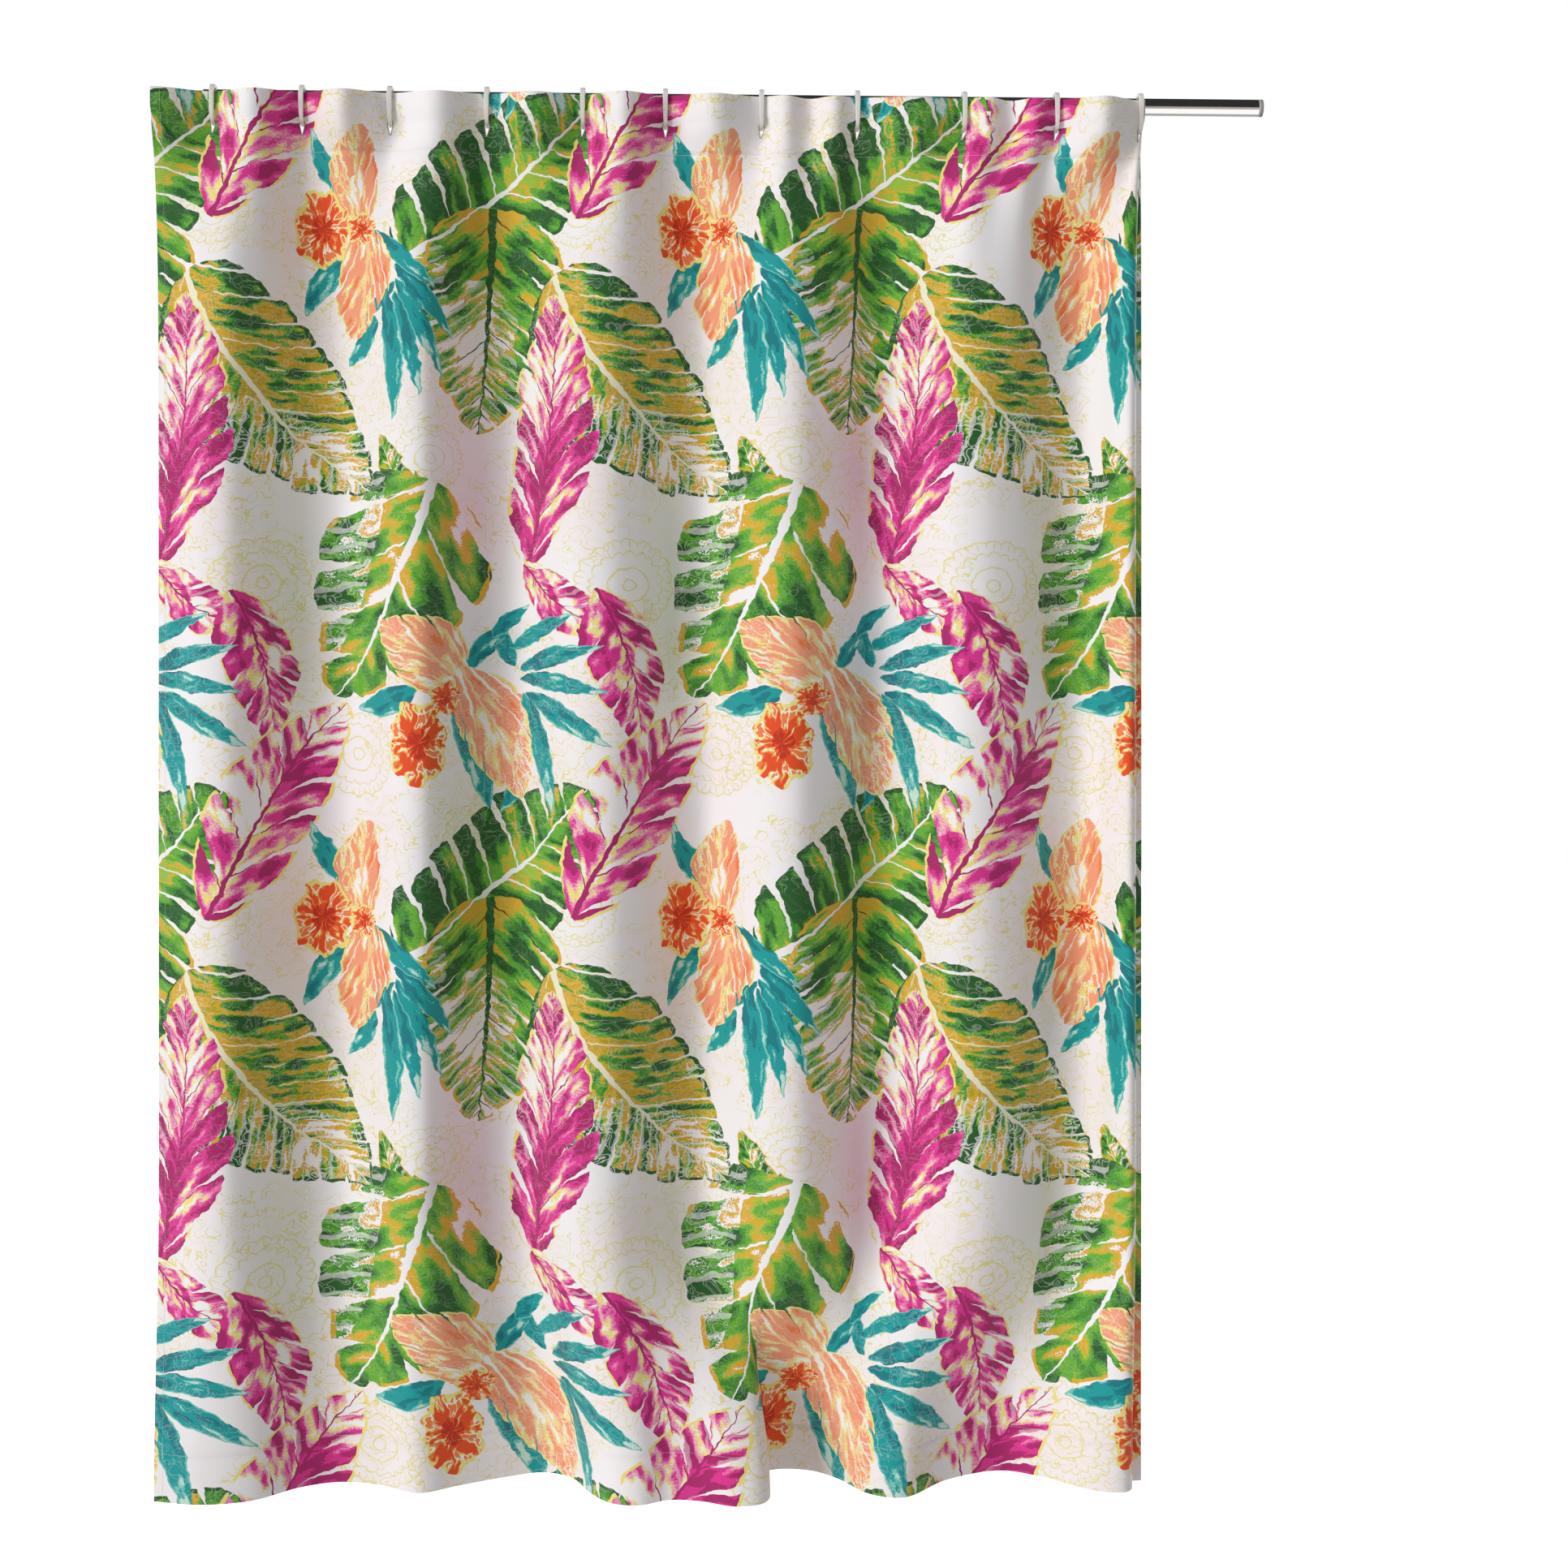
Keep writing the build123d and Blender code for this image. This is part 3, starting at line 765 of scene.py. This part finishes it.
def leaf_group(space):
    """A painted leaf or petal with leaflets between its ribs."""
    tree, given, out = shader_group(
        "leaf_form", MOTIF_INPUTS + ["Ribs", "Lean", "Notch", "Belly"], PAINT_OUTPUTS + ["Ribs", "Hatch"],
    )
    along, across = in_motif(tree, space, given)
    side, upper, seed = abs(across), across > 0.0, given["Seed"]
    ribs = (along - side * given["Lean"] + side * side * 0.10) * given["Ribs"] + upper * 0.37 + seed
    leaflet = ribs.op("FLOOR")
    luck = chance(tree, leaflet, seed + upper)
    gap = abs(ribs - leaflet - 0.5) * 2.0
    swell = (along.clamped() ** given["Belly"] * math.pi).op("SINE").op("MAXIMUM", 0.0) ** 0.62
    reach = swell * (0.78 + luck * 0.22) * (1.0 - gap ** 4.0 * given["Notch"] * 0.4)
    cut = ((side / (reach + 0.001) - 0.15 - luck * 0.5) * 2.0).clamped() * given["Notch"]
    strokes = cloud(tree, vector(tree, ribs * 1.5, side * 1.4 + along * 0.5, seed * 3.1), 1.7, 1.0, 0.55)
    patch = cloud(tree, vector(tree, along * 2.2, across, seed * 5.7), 1.7, 1.0, 0.5)
    grain = cloud(tree, given["Place"], INK_GRAIN, 1.0)
    midrib = side < (1.15 - along) * 0.04
    veins = (gap > 0.94) * (strokes > 0.52) * (side < reach * 0.6)
    hatch = abs((ribs * 2.6 + strokes).op("FRACT") - 0.5) < 0.14
    return put_out(
        tree, out, Mask=(side < reach) * (gap < 1.0 - cut),
        Tone=spread(strokes, (0.9, patch), (0.30, grain), (0.15, luck), (0.22, 1.0 - side)),
        Fringe=(side > reach - 0.05) * (patch > 0.40), Ribs=midrib.op("MAXIMUM", veins),
        Zone=along + (patch - 0.5) * 0.9, Side=across, Hatch=hatch * (strokes < 0.58),
    )


def blade_group(space):
    """One narrow painted blade of a spray."""
    tree, given, out = shader_group("blade_form", MOTIF_INPUTS, PAINT_OUTPUTS)
    along, across = in_motif(tree, space, given)
    side = abs(across)
    reach = (along.clamped() ** 0.8 * math.pi).op("SINE").op("MAXIMUM", 0.0) ** 0.8
    strokes = cloud(tree, vector(tree, along * 2.2, across * 0.9, given["Seed"]), 1.6, 1.0, 0.6)
    grain = cloud(tree, given["Place"], INK_GRAIN, 1.0)
    return put_out(
        tree, out, Mask=side < reach, Tone=spread(strokes, (0.3, along), (0.25, grain)),
        Fringe=(side > reach - 0.12) * (strokes > 0.45), Zone=along + (strokes - 0.5) * 0.5, Side=across,
    )


def lip_group(space):
    """A frilled round lip of a flower, painted outwards from its throat."""
    tree, given, out = shader_group("lip_form", MOTIF_INPUTS + ["Ribs"], PAINT_OUTPUTS)
    along, across = in_motif(tree, space, given)
    along = along * 2.0 - 1.0
    radius = (along * along + across * across).op("SQRT")
    angle = along.op("ARCTAN2", across)
    ruffle = cloud(tree, vector(tree, angle * 1.3, given["Seed"], 0.0), 2.0, 1.0)
    rim = 0.84 + 0.07 * (angle * given["Ribs"] + ruffle * 6.0).op("SINE") + 0.16 * ruffle
    strokes = cloud(tree, vector(tree, angle * 1.6, radius * 1.1, given["Seed"]), 2.2, 1.5, 0.6)
    return put_out(
        tree, out, Mask=radius < rim, Tone=spread(strokes, (0.35, radius)),
        Fringe=(radius > rim - 0.10) * (strokes > 0.42), Zone=radius + (strokes - 0.5) * 0.6, Side=radius,
    )


def rosette_group():
    """A pale rosette drawn in thin lines: rings, petals and scallops about its middle."""
    tree, given, out = shader_group("rosette_lines", ["Place", "Middle", "Radius"], ["Lines"])
    x, y, _ = parts_of(tree, nearest(tree, given["Place"], given["Middle"]))
    radius = (x * x + y * y).op("SQRT") / given["Radius"]
    angle = y.op("ARCTAN2", x)
    petals = abs((angle * 9.0).op("SINE"))
    rings = radius * 4.0 - petals * (radius > 0.5) * 0.35
    line = abs(rings.op("FRACT") - 0.5) < 0.07
    spokes = (abs((angle * 18.0).op("SINE")) < 0.22) * (abs(radius - 0.86) < 0.07)
    return put_out(tree, out, Lines=line.op("MAXIMUM", spokes) * (radius < 1.0) * (radius > 0.1))


# How far the painted edges wobble, and how closely
WOBBLE, WOBBLE_SCALE = 0.009, 70.0


def print_place_group():
    """The flat cloth's map turned into places on the print, with the wobble of a painted edge."""
    tree, given, out = shader_group("print_place", ["Map"], ["Place"])
    place = vector_op(tree, "SUBTRACT", given["Map"], (0.0, PRINT_TOP, 0.0))
    place = vector_op(tree, "MULTIPLY", place, (GATHERED_SHARE, PRINT_DROP, 0.0))
    node = tree.nodes.new("ShaderNodeTexNoise")
    feed(tree, node.inputs["Vector"], place)
    node.inputs["Scale"].default_value = WOBBLE_SCALE
    node.inputs["Detail"].default_value = 1.5
    sway = vector_op(tree, "SUBTRACT", node.outputs["Color"], (0.5, 0.5, 0.5))
    sway = vector_op(tree, "MULTIPLY", sway, (WOBBLE, WOBBLE, 0.0))
    return put_out(tree, out, Place=vector_op(tree, "ADD", place, sway))


# Scales of the ground's washes, of its vines and of the lace drawn over the motifs
WASHES, VINES, LACE = 7.0, 46.0, 85.0


def ground_group():
    """The white ground with faint washes and a trail of pale line-drawn vines."""
    tree, given, out = shader_group("print_ground", ["Place"], ["Color", "Lace"])
    wash = cloud(tree, given["Place"], WASHES, 1.0)
    vine = cloud(tree, given["Place"], VINES, 1.5, 0.5)
    lace = cloud(tree, given["Place"], LACE, 0.5, 0.5)
    colour = mixed(tree, (wash * 1.6 - 0.62).clamped(), GROUND, paint(244, 230, 228))
    vines = (abs(vine - 0.5) < 0.009).op("MAXIMUM", abs(vine - 0.60) < 0.007) * (wash > 0.44)
    lines = (abs(lace - 0.5) < 0.022).op("MAXIMUM", abs(lace - 0.62) < 0.018)
    return put_out(tree, out, Color=mixed(tree, vines * 0.8, colour, LINE_ART), Lace=lines)


def finish_group(kind, form):
    """One kind of motif in its paints."""
    known = {item.name for item in form.interface.items_tree}
    leafy = "Lean" in known
    inputs = MOTIF_INPUTS + ["Ribs"] * (kind != "blade") + ["Lean", "Notch"] * leafy
    belly, hatch = SHAPES.get(kind, (None, None))
    tree, given, out = shader_group(kind, inputs + ["Lace", "Lace Lines", "Below"], ["Color"])
    stops, zone_stops, (by_place, by_side, border), fringe, rib = PALETTES[kind]
    values = {title: given[title] for title in inputs}
    if belly:
        values["Belly"] = belly
    made = use_group(tree, form, **values)
    zone = Field(tree, made["Zone"]) * by_place + Field(tree, made["Side"]) * by_side > border
    second = paints(tree, made["Tone"], zone_stops)
    if hatch:
        second = mixed(tree, Field(tree, made["Hatch"]) * hatch, second, GROUND)
    colour = mixed(tree, zone, paints(tree, made["Tone"], stops), second)
    colour = mixed(tree, made["Fringe"], colour, fringe)
    if leafy:
        colour = mixed(tree, made["Ribs"], colour, rib)
    colour = mixed(tree, given["Lace Lines"] * given["Lace"] * (zone * 0.7 + 0.3), colour, GROUND)
    return put_out(tree, out, Color=mixed(tree, made["Mask"], given["Below"], colour))


class Print:
    """The printed cloth's materials: one for each set of motifs that reach the same tile of the repeat."""

    TILES = (6, 12)
    TILE_SIZE = (REPEAT[0] / TILES[0], REPEAT[1] / TILES[1])
    # Room round a motif for the wobble of its painted edge
    SPARE = 0.008
    # How strongly the rosettes' lines show, how much paler the print is on the back, and how deep the weave is
    ROSETTE_SHARE, BACK_PALENESS, WEAVE_DEPTH = 0.75, 0.45, 0.0002

    def __init__(self):
        space = motif_space_group()
        leaf, blade, lip = leaf_group(space), blade_group(space), lip_group(space)
        forms = {"blade": blade, "lip": lip}
        self.place = print_place_group()
        self.ground = ground_group()
        self.rosette = rosette_group()
        self.weave = weave_group()
        self.kinds = {kind: finish_group(kind, forms.get(kind, leaf)) for kind in PALETTES}
        self.made = {}
        self.slots = []

    def tile_of(self, x, y):
        return int(x % REPEAT[0] / self.TILE_SIZE[0]), int(y % REPEAT[1] / self.TILE_SIZE[1])

    def reaching(self, tile):
        """The motifs and the rosettes that come within a tile."""
        middle = Vector([(tile[i] + 0.5) * self.TILE_SIZE[i] for i in (0, 1)])
        spare = math.hypot(*self.TILE_SIZE) / 2 + self.SPARE

        def away(point):
            return Vector([(middle[i] - point[i] + REPEAT[i] / 2) % REPEAT[i] - REPEAT[i] / 2 for i in (0, 1)])

        motifs = []
        for number, (kind, stalk, tip, width, bend, *_) in enumerate(MOTIFS):
            stalk, tip = Vector(stalk), Vector(tip)
            way = (tip - stalk).normalized()
            offset = away((stalk + tip) / 2)
            if abs(offset.dot(way)) < (tip - stalk).length / 2 + spare:
                if abs(offset.dot(Vector((-way.y, way.x)))) < width / 2 + abs(bend) + spare:
                    motifs.append(number)
        rosettes = [i for i, (place, radius) in enumerate(ROSETTES) if away(place).length < radius + spare]
        return tuple(motifs), tuple(rosettes)

    def slot_for(self, x, y):
        """The number of the material that prints the cloth at a place on the print."""
        tile = self.tile_of(x, y)
        if tile not in self.made:
            key = self.reaching(tile)
            if key not in [k for k, _ in self.slots]:
                self.slots.append((key, self.material(*key, len(self.slots))))
            self.made[tile] = [k for k, _ in self.slots].index(key)
        return self.made[tile]

    def material(self, motifs, rosettes, number):
        material = bpy.data.materials.new(f"printed_cloth_{number + 1:02d}")
        material.use_nodes = True
        tree = material.node_tree
        shader = tree.nodes["Principled BSDF"]
        flat = tree.nodes.new("ShaderNodeUVMap")
        flat.uv_map = "flat_cloth"
        place = use_group(tree, self.place, Map=flat.outputs[0])["Place"]
        base = use_group(tree, self.ground, Place=place)
        colour, lace = base["Color"], base["Lace"]
        for i in rosettes:
            (x, y), radius = ROSETTES[i]
            lines = use_group(tree, self.rosette, Place=place, Middle=(x, y, 0), Radius=radius)["Lines"]
            colour = mixed(tree, Field(tree, lines) * self.ROSETTE_SHARE, colour, LINE_ART)
        for i in motifs:
            kind, stalk, tip, width, bend, ribs, lean, notch, lace_share = MOTIFS[i]
            group = self.kinds[kind]
            middle = [(a + b) / 2 for a, b in zip(stalk, tip)]
            values = {
                "Place": place, "Middle": (*middle, 0), "Angle": math.atan2(tip[1] - stalk[1], tip[0] - stalk[0]),
                "Length": math.dist(stalk, tip), "Width": width, "Bend": bend, "Seed": i * 1.7 + 0.3,
                "Ribs": float(ribs), "Lean": lean, "Notch": notch,
                "Lace": lace_share, "Lace_Lines": lace, "Below": colour,
            }
            known = {item.name for item in group.interface.items_tree}
            taken = {title: value for title, value in values.items() if title.replace("_", " ") in known}
            colour = use_group(tree, group, **taken)["Color"]
        facing = tree.nodes.new("ShaderNodeNewGeometry")
        paler = Field(tree, facing.outputs["Backfacing"]) * self.BACK_PALENESS
        feed(tree, shader.inputs["Base Color"], mixed(tree, paler, colour, GROUND))
        shader.inputs["Roughness"].default_value = 0.72
        shader.inputs["Sheen Weight"].default_value = 0.15
        shader.inputs["Specular IOR Level"].default_value = 0.35
        dented(tree, shader, use_group(tree, self.weave, Map=flat.outputs[0])["Height"], self.WEAVE_DEPTH, 0.5)
        return material


# Radians of the weave's threads in a metre, and the scale of their slubs
THREADS, SLUBS = 9000.0, 900.0


def weave_group():
    """The raised threads of a plain weave."""
    tree, given, out = shader_group("plain_weave", ["Map"], ["Height"])
    x, y, _ = parts_of(tree, given["Map"])
    threads = (x * THREADS).op("SINE") * (y * THREADS).op("SINE")
    slub = cloud(tree, vector_op(tree, "MULTIPLY", given["Map"], (1.0, 0.08, 1.0)), SLUBS, 0.0)
    return put_out(tree, out, Height=threads * 0.5 + slub)


# ---------------------------------------------------------------- finishes

def coat(node, material):
    """Puts a material on a CAD node's object."""
    piece = bpy.data.objects[node]
    for slot in piece.material_slots:
        slot.link = "OBJECT"
        slot.material = material


def new_finish(name):
    """A material, its tree, its shader and the object coordinates."""
    material = bpy.data.materials.new(name)
    material.use_nodes = True
    tree = material.node_tree
    return material, tree, tree.nodes["Principled BSDF"], tree.nodes.new("ShaderNodeTexCoord").outputs["Object"]


def dented(tree, shader, height, depth, strength=1.0):
    """Gives a shader's surface small dents from a height field."""
    bump = tree.nodes.new("ShaderNodeBump")
    bump.inputs["Distance"].default_value = depth
    bump.inputs["Strength"].default_value = strength
    feed(tree, bump.inputs["Height"], height)
    tree.links.new(bump.outputs[0], shader.inputs["Normal"])


def chrome_finish():
    """Bright plated tube with the faintest lengthwise polishing lines and a few dull patches."""
    material, tree, shader, place = new_finish("polished_tube")
    shader.inputs["Metallic"].default_value = 1.0
    shader.inputs["Base Color"].default_value = (0.72, 0.71, 0.70, 1)
    lines = cloud(tree, vector_op(tree, "MULTIPLY", place, (0.05, 1.0, 1.0)), 900.0, 2.0)
    dull = cloud(tree, place, 9.0, 2.0)
    feed(tree, shader.inputs["Roughness"], 0.07 + dull * 0.07 + lines * 0.04)
    dented(tree, shader, lines, 0.00001, 0.4)
    return material


def spring_finish():
    """Drawn spring wire with a thin film of oil."""
    material, tree, shader, place = new_finish("spring_steel")
    shader.inputs["Metallic"].default_value = 1.0
    film = cloud(tree, place, 60.0, 3.0)
    feed(tree, shader.inputs["Base Color"], mixed(tree, film, paint(120, 118, 114), paint(156, 152, 146)))
    feed(tree, shader.inputs["Roughness"], 0.24 + film * 0.2)
    return material


def moulded_finish(name, color, roughness, mottle):
    """Moulded plastic or rubber: a fine grain, a slight waviness and a little unevenness of colour."""
    material, tree, shader, place = new_finish(name)
    uneven = cloud(tree, place, 140.0, 2.0)
    darker = tuple(c * (0.93 - 0.25 * mottle) for c in color)
    feed(tree, shader.inputs["Base Color"], mixed(tree, uneven, (*darker, 1), (*color, 1)))
    grain = cloud(tree, place, 2600.0, 1.0)
    feed(tree, shader.inputs["Roughness"], roughness + (uneven - 0.5) * 0.12)
    dented(tree, shader, grain * 0.25 + uneven, 0.00008, 0.35)
    return material


def thread_finish(name, color, darker):
    """Spun thread: fine slanting fibres of two tones. On the buttonholes the thread's dark mauve is partly its own
    colour and partly painted shade of the dark slit.
    """
    material, tree, shader, place = new_finish(name)
    fibres = cloud(tree, vector_op(tree, "MULTIPLY", place, (1.0, 0.4, 0.4)), 2400.0, 1.0)
    feed(tree, shader.inputs["Base Color"], mixed(tree, fibres, darker, color))
    shader.inputs["Roughness"].default_value = 0.8
    shader.inputs["Sheen Weight"].default_value = 0.2
    dented(tree, shader, fibres, 0.00005)
    return material


def stitch_pieces(shape):
    """The hems' running stitches and the buttonholes' bound edges."""
    s = settings()
    foot, left, right = shape.height - s.bottom_hem, HEM_EDGE, shape.width - HEM_EDGE
    top, end = HEM_STOP, shape.height - HEM_STOP
    lines = [
        ((left, s.top_hem), (right, s.top_hem)), ((left, foot), (right, foot)),
        ((left, top), (left, end)), ((right, top), (right, end)),
    ]
    hems = [stitch_ends(*line, s.stitch_pitch, s.stitch_pitch * STITCH_SHARE) for line in lines]
    running = make_stitches("hem_stitches", shape, hems, HEM_THREAD, HEM_LIFT)
    running.data.materials.append(thread_finish("hem_thread", paint(240, 234, 226), paint(206, 198, 190)))
    bound = make_stitches("buttonhole_stitches", shape, buttonhole_stitches(shape), BOUND_THREAD, BOUND_LIFT)
    # The buttonhole thread's dark mauve tones are partly its own colour and partly painted shade, standing in for the
    # shadow in the slit
    bound.data.materials.append(thread_finish("buttonhole_thread_and_painted_shade", paint(206, 188, 180), paint(120, 92, 84)))
    return running, bound


def hang(piece):
    """Lets a piece of the curtain swing with it."""
    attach(piece, "curtain")
    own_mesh(piece)


# ---------------------------------------------------------------- operators

class MakeCurtain(bpy.types.Operator):
    """Hangs the printed cloth from the rings"""

    bl_idname = "curtain.make_cloth"
    bl_label = "Hang the curtain"

    def execute(self, context):
        cloth, shape = make_cloth()
        ink = Print()
        flat = cloth.data.uv_layers["flat_cloth"].data
        for polygon in cloth.data.polygons:
            corners = [flat[i].uv for i in polygon.loop_indices]
            middle = sum(corners, Vector((0, 0))) / len(corners)
            place = middle.x * GATHERED_SHARE, (middle.y - PRINT_TOP) * PRINT_DROP
            polygon.material_index = ink.slot_for(*place)
        for _, material in ink.slots:
            cloth.data.materials.append(material)
        hang(cloth)
        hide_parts(*STRIPS)
        return {"FINISHED"}


class SewCurtain(bpy.types.Operator):
    """Sews the hems and binds the buttonholes of the hung cloth"""

    bl_idname = "curtain.sew"
    bl_label = "Sew the curtain"

    def execute(self, context):
        cloth, shape = bpy.data.objects["curtain_cloth"], ClothShape()
        stitched = stitch_pieces(shape)
        for piece in stitched:
            hang(piece)
        return {"FINISHED"}


class MakeSpring(bpy.types.Operator):
    """Winds the tension spring"""

    bl_idname = "curtain.make_spring"
    bl_label = "Wind the spring"

    def execute(self, context):
        low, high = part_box("tension_spring")
        length = high.x - low.x - SPRING_WIRE
        turns = length / SPRING_PITCH
        bpy.ops.object.select_all(action="DESELECT")
        bpy.ops.mesh.primitive_circle_add(
            vertices=SPRING_SIDES, radius=SPRING_WIRE / 2, rotation=(math.pi / 2, 0, 0),
            location=(low.x + SPRING_WIRE / 2, 0, SPRING_RADIUS),
        )
        spring = bpy.context.object
        spring.name = spring.data.name = "wound_spring"
        bpy.ops.object.transform_apply(location=True, rotation=True, scale=True)
        screw = spring.modifiers.new("winding", "SCREW")
        screw.axis = "X"
        screw.angle = turns * 2 * math.pi
        screw.screw_offset = length
        screw.steps = screw.render_steps = round(turns * SPRING_STEPS)
        bpy.ops.object.modifier_apply(modifier=screw.name)
        bpy.ops.object.mode_set(mode="EDIT")
        bpy.ops.mesh.select_all(action="SELECT")
        bpy.ops.mesh.fill_holes(sides=0)
        bpy.ops.mesh.select_all(action="SELECT")
        bpy.ops.mesh.normals_make_consistent(inside=False)
        bpy.ops.object.mode_set(mode="OBJECT")
        bpy.ops.object.shade_smooth_by_angle(angle=math.radians(40))
        spring.data.materials.append(spring_finish())
        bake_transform(spring)
        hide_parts("tension_spring")
        return {"FINISHED"}


class FinishRod(bpy.types.Operator):
    """Gives the rod's tubes, plugs and pads their finishes"""

    bl_idname = "curtain.finish_rod"
    bl_label = "Finish the rod"

    def execute(self, context):
        s = settings()
        chrome = chrome_finish()
        for node in ("rod_outer_tube", "rod_inner_tube"):
            coat(node, chrome)
        plastic = moulded_finish("plug_plastic", s.plug_color, 0.42, 0.0)
        for node in ("left_end_plug", "right_end_plug", "glide_bush", "spring_seat", "spring_stop"):
            coat(node, plastic)
        rubber = moulded_finish("pad_rubber", s.pad_color, 0.62, 0.25)
        for node in ("left_wall_pad", "right_wall_pad"):
            coat(node, rubber)
        return {"FINISHED"}


class FinishRings(bpy.types.Operator):
    """Gives the snap rings their off-white plastic"""

    bl_idname = "curtain.finish_rings"
    bl_label = "Finish the rings"

    def execute(self, context):
        plastic = moulded_finish("ring_plastic", settings().ring_color, 0.34, 0.05)
        for node in RINGS:
            coat(node, plastic)
        return {"FINISHED"}


class CURTAIN_PT_maker(bpy.types.Panel):
    """Buttons and sizes in the sidebar"""

    bl_label = "Curtain"
    bl_space_type = "VIEW_3D"
    bl_region_type = "UI"
    bl_category = "Curtain"

    def draw(self, context):
        for owner in (context.scene.curtain_settings, context.scene.stage_settings):
            for name in owner.__annotations__:
                self.layout.prop(owner, name)
        for operator in (MakeStage, MakeCurtain, SewCurtain, MakeSpring, FinishRod, FinishRings):
            self.layout.operator(operator.bl_idname)


CAMERA_X = 0.688
LIGHT_WIDTH = math.radians(28)
KEY_FALL, BACK_WAY = -0.18, (-0.7, -0.7, -0.3)
FLOOR_LEVEL, FLOOR_LEFT, FLOOR_RIGHT, FLOOR_REACH = -2.0, -30, 31, 30
# The white sheet painted on the floor as a painted reflection, seen by gloss alone, from its front edge to its back
# edge, and the floor's glow
REFLECTED_SHEET_FRONT, REFLECTED_SHEET_BACK, GLOW = -3.3, 0.62, 0.9


class MakeStage(bpy.types.Operator):
    """Sets the floor, the lights and the camera"""

    bl_idname = "curtain.make_stage"
    bl_label = "Set the stage"

    def execute(self, context):
        s = context.scene.stage_settings
        scene = context.scene
        camera = bpy.data.objects.new("camera", bpy.data.cameras.new("camera"))
        scene.collection.objects.link(camera)
        camera.data.lens = s.lens
        camera.data.sensor_width = 36
        camera.location = (CAMERA_X, -s.camera_distance, s.camera_height)
        camera.rotation_euler = (math.pi / 2, 0, -s.camera_turn)
        scene.camera = camera
        scene.view_settings.view_transform = "Standard"
        scene.world = self.surroundings(s)
        key_way = (math.sin(s.key_turn), math.cos(s.key_turn), KEY_FALL)
        lights = (("key_light", s.key_strength, key_way), ("back_light", s.back_strength, BACK_WAY))
        for name, strength, way in lights:
            light = bpy.data.objects.new(name, bpy.data.lights.new(name, "SUN"))
            scene.collection.objects.link(light)
            light.data.energy = strength
            light.data.angle = LIGHT_WIDTH
            light.rotation_euler = Vector(way).to_track_quat("-Z", "Y").to_euler()
        left, right, reach = FLOOR_LEFT, FLOOR_RIGHT, FLOOR_REACH
        corners = [(left, -reach), (right, -reach), (right, reach), (left, reach)]
        floor = mesh_object("floor", [(x, y, FLOOR_LEVEL) for x, y in corners], [(0, 1, 2, 3)])
        floor.data.materials.append(self.pale_floor())
        return {"FINISHED"}

    def surroundings(self, s):
        """White to the camera and dimmer as light on the curtain. Gloss sees it dark, with a white wall behind."""
        world = bpy.data.worlds.new("studio")
        world.use_nodes = True
        tree = world.node_tree
        path = tree.nodes.new("ShaderNodeLightPath")
        _, behind, height = parts_of(tree, tree.nodes.new("ShaderNodeTexCoord").outputs["Generated"])
        seen, glossy = Field(tree, path.outputs["Is Camera Ray"]), Field(tree, path.outputs["Is Glossy Ray"])
        wall = (behind * 6.0).clamped() * ((0.75 - height) * 5.0).clamped()
        light = s.fill * (1.0 - glossy) + glossy * (0.035 + 0.9 * wall)
        feed(tree, tree.nodes["Background"].inputs["Color"], (1, 1, 1, 1))
        feed(tree, tree.nodes["Background"].inputs["Strength"], seen.op("MAXIMUM", light))
        return world

    def pale_floor(self):
        """Pale floor paint, glowing as bright as the backdrop to the camera. For gloss alone it glows with painted
        reflections for the chrome: a white sheet on a dark red and grey floor.
        """
        material = bpy.data.materials.new("floor_paint_and_painted_reflections")
        material.use_nodes = True
        tree = material.node_tree
        shader = tree.nodes["Principled BSDF"]
        shader.inputs["Base Color"].default_value = (0.8, 0.8, 0.8, 1)
        shader.inputs["Roughness"].default_value = 0.9
        path = tree.nodes.new("ShaderNodeLightPath")
        _, behind, _ = parts_of(tree, tree.nodes.new("ShaderNodeTexCoord").outputs["Object"])
        seen = Field(tree, path.outputs["Is Camera Ray"])
        # Painted reflections for the chrome: gloss alone sees the floor glow as a white sheet, with dark red in front
        # of it and grey behind it
        sheet = ((behind - REFLECTED_SHEET_FRONT) * 3.0).clamped() * ((REFLECTED_SHEET_BACK - behind) * 8.0).clamped()
        reflected_floor = mixed(tree, (behind * 4.0).clamped(), paint(104, 34, 32), paint(88, 90, 82))
        white = mixed(tree, seen.op("MAXIMUM", sheet), reflected_floor, (1, 1, 1, 1))
        feed(tree, shader.inputs["Emission Color"], white)
        # The floor glows to the camera as the bright backdrop, and to gloss as the painted reflections
        feed(tree, shader.inputs["Emission Strength"], seen.op("MAXIMUM", path.outputs["Is Glossy Ray"]) * GLOW)
        return material


CLASSES = (
    CurtainSettings, StageSettings, MakeCurtain, SewCurtain, MakeSpring, FinishRod, FinishRings, MakeStage,
    CURTAIN_PT_maker,
)


def register():
    for c in CLASSES:
        bpy.utils.register_class(c)
    bpy.types.Scene.curtain_settings = bpy.props.PointerProperty(type=CurtainSettings)
    bpy.types.Scene.stage_settings = bpy.props.PointerProperty(type=StageSettings)


def unregister():
    del bpy.types.Scene.stage_settings
    del bpy.types.Scene.curtain_settings
    for c in reversed(CLASSES):
        bpy.utils.unregister_class(c)


def main():
    register()
    bpy.ops.curtain.make_stage()
    bpy.ops.curtain.make_cloth()
    bpy.ops.curtain.sew()
    bpy.ops.curtain.make_spring()
    bpy.ops.curtain.finish_rod()
    bpy.ops.curtain.finish_rings()


if __name__ == "__main__":
    main()
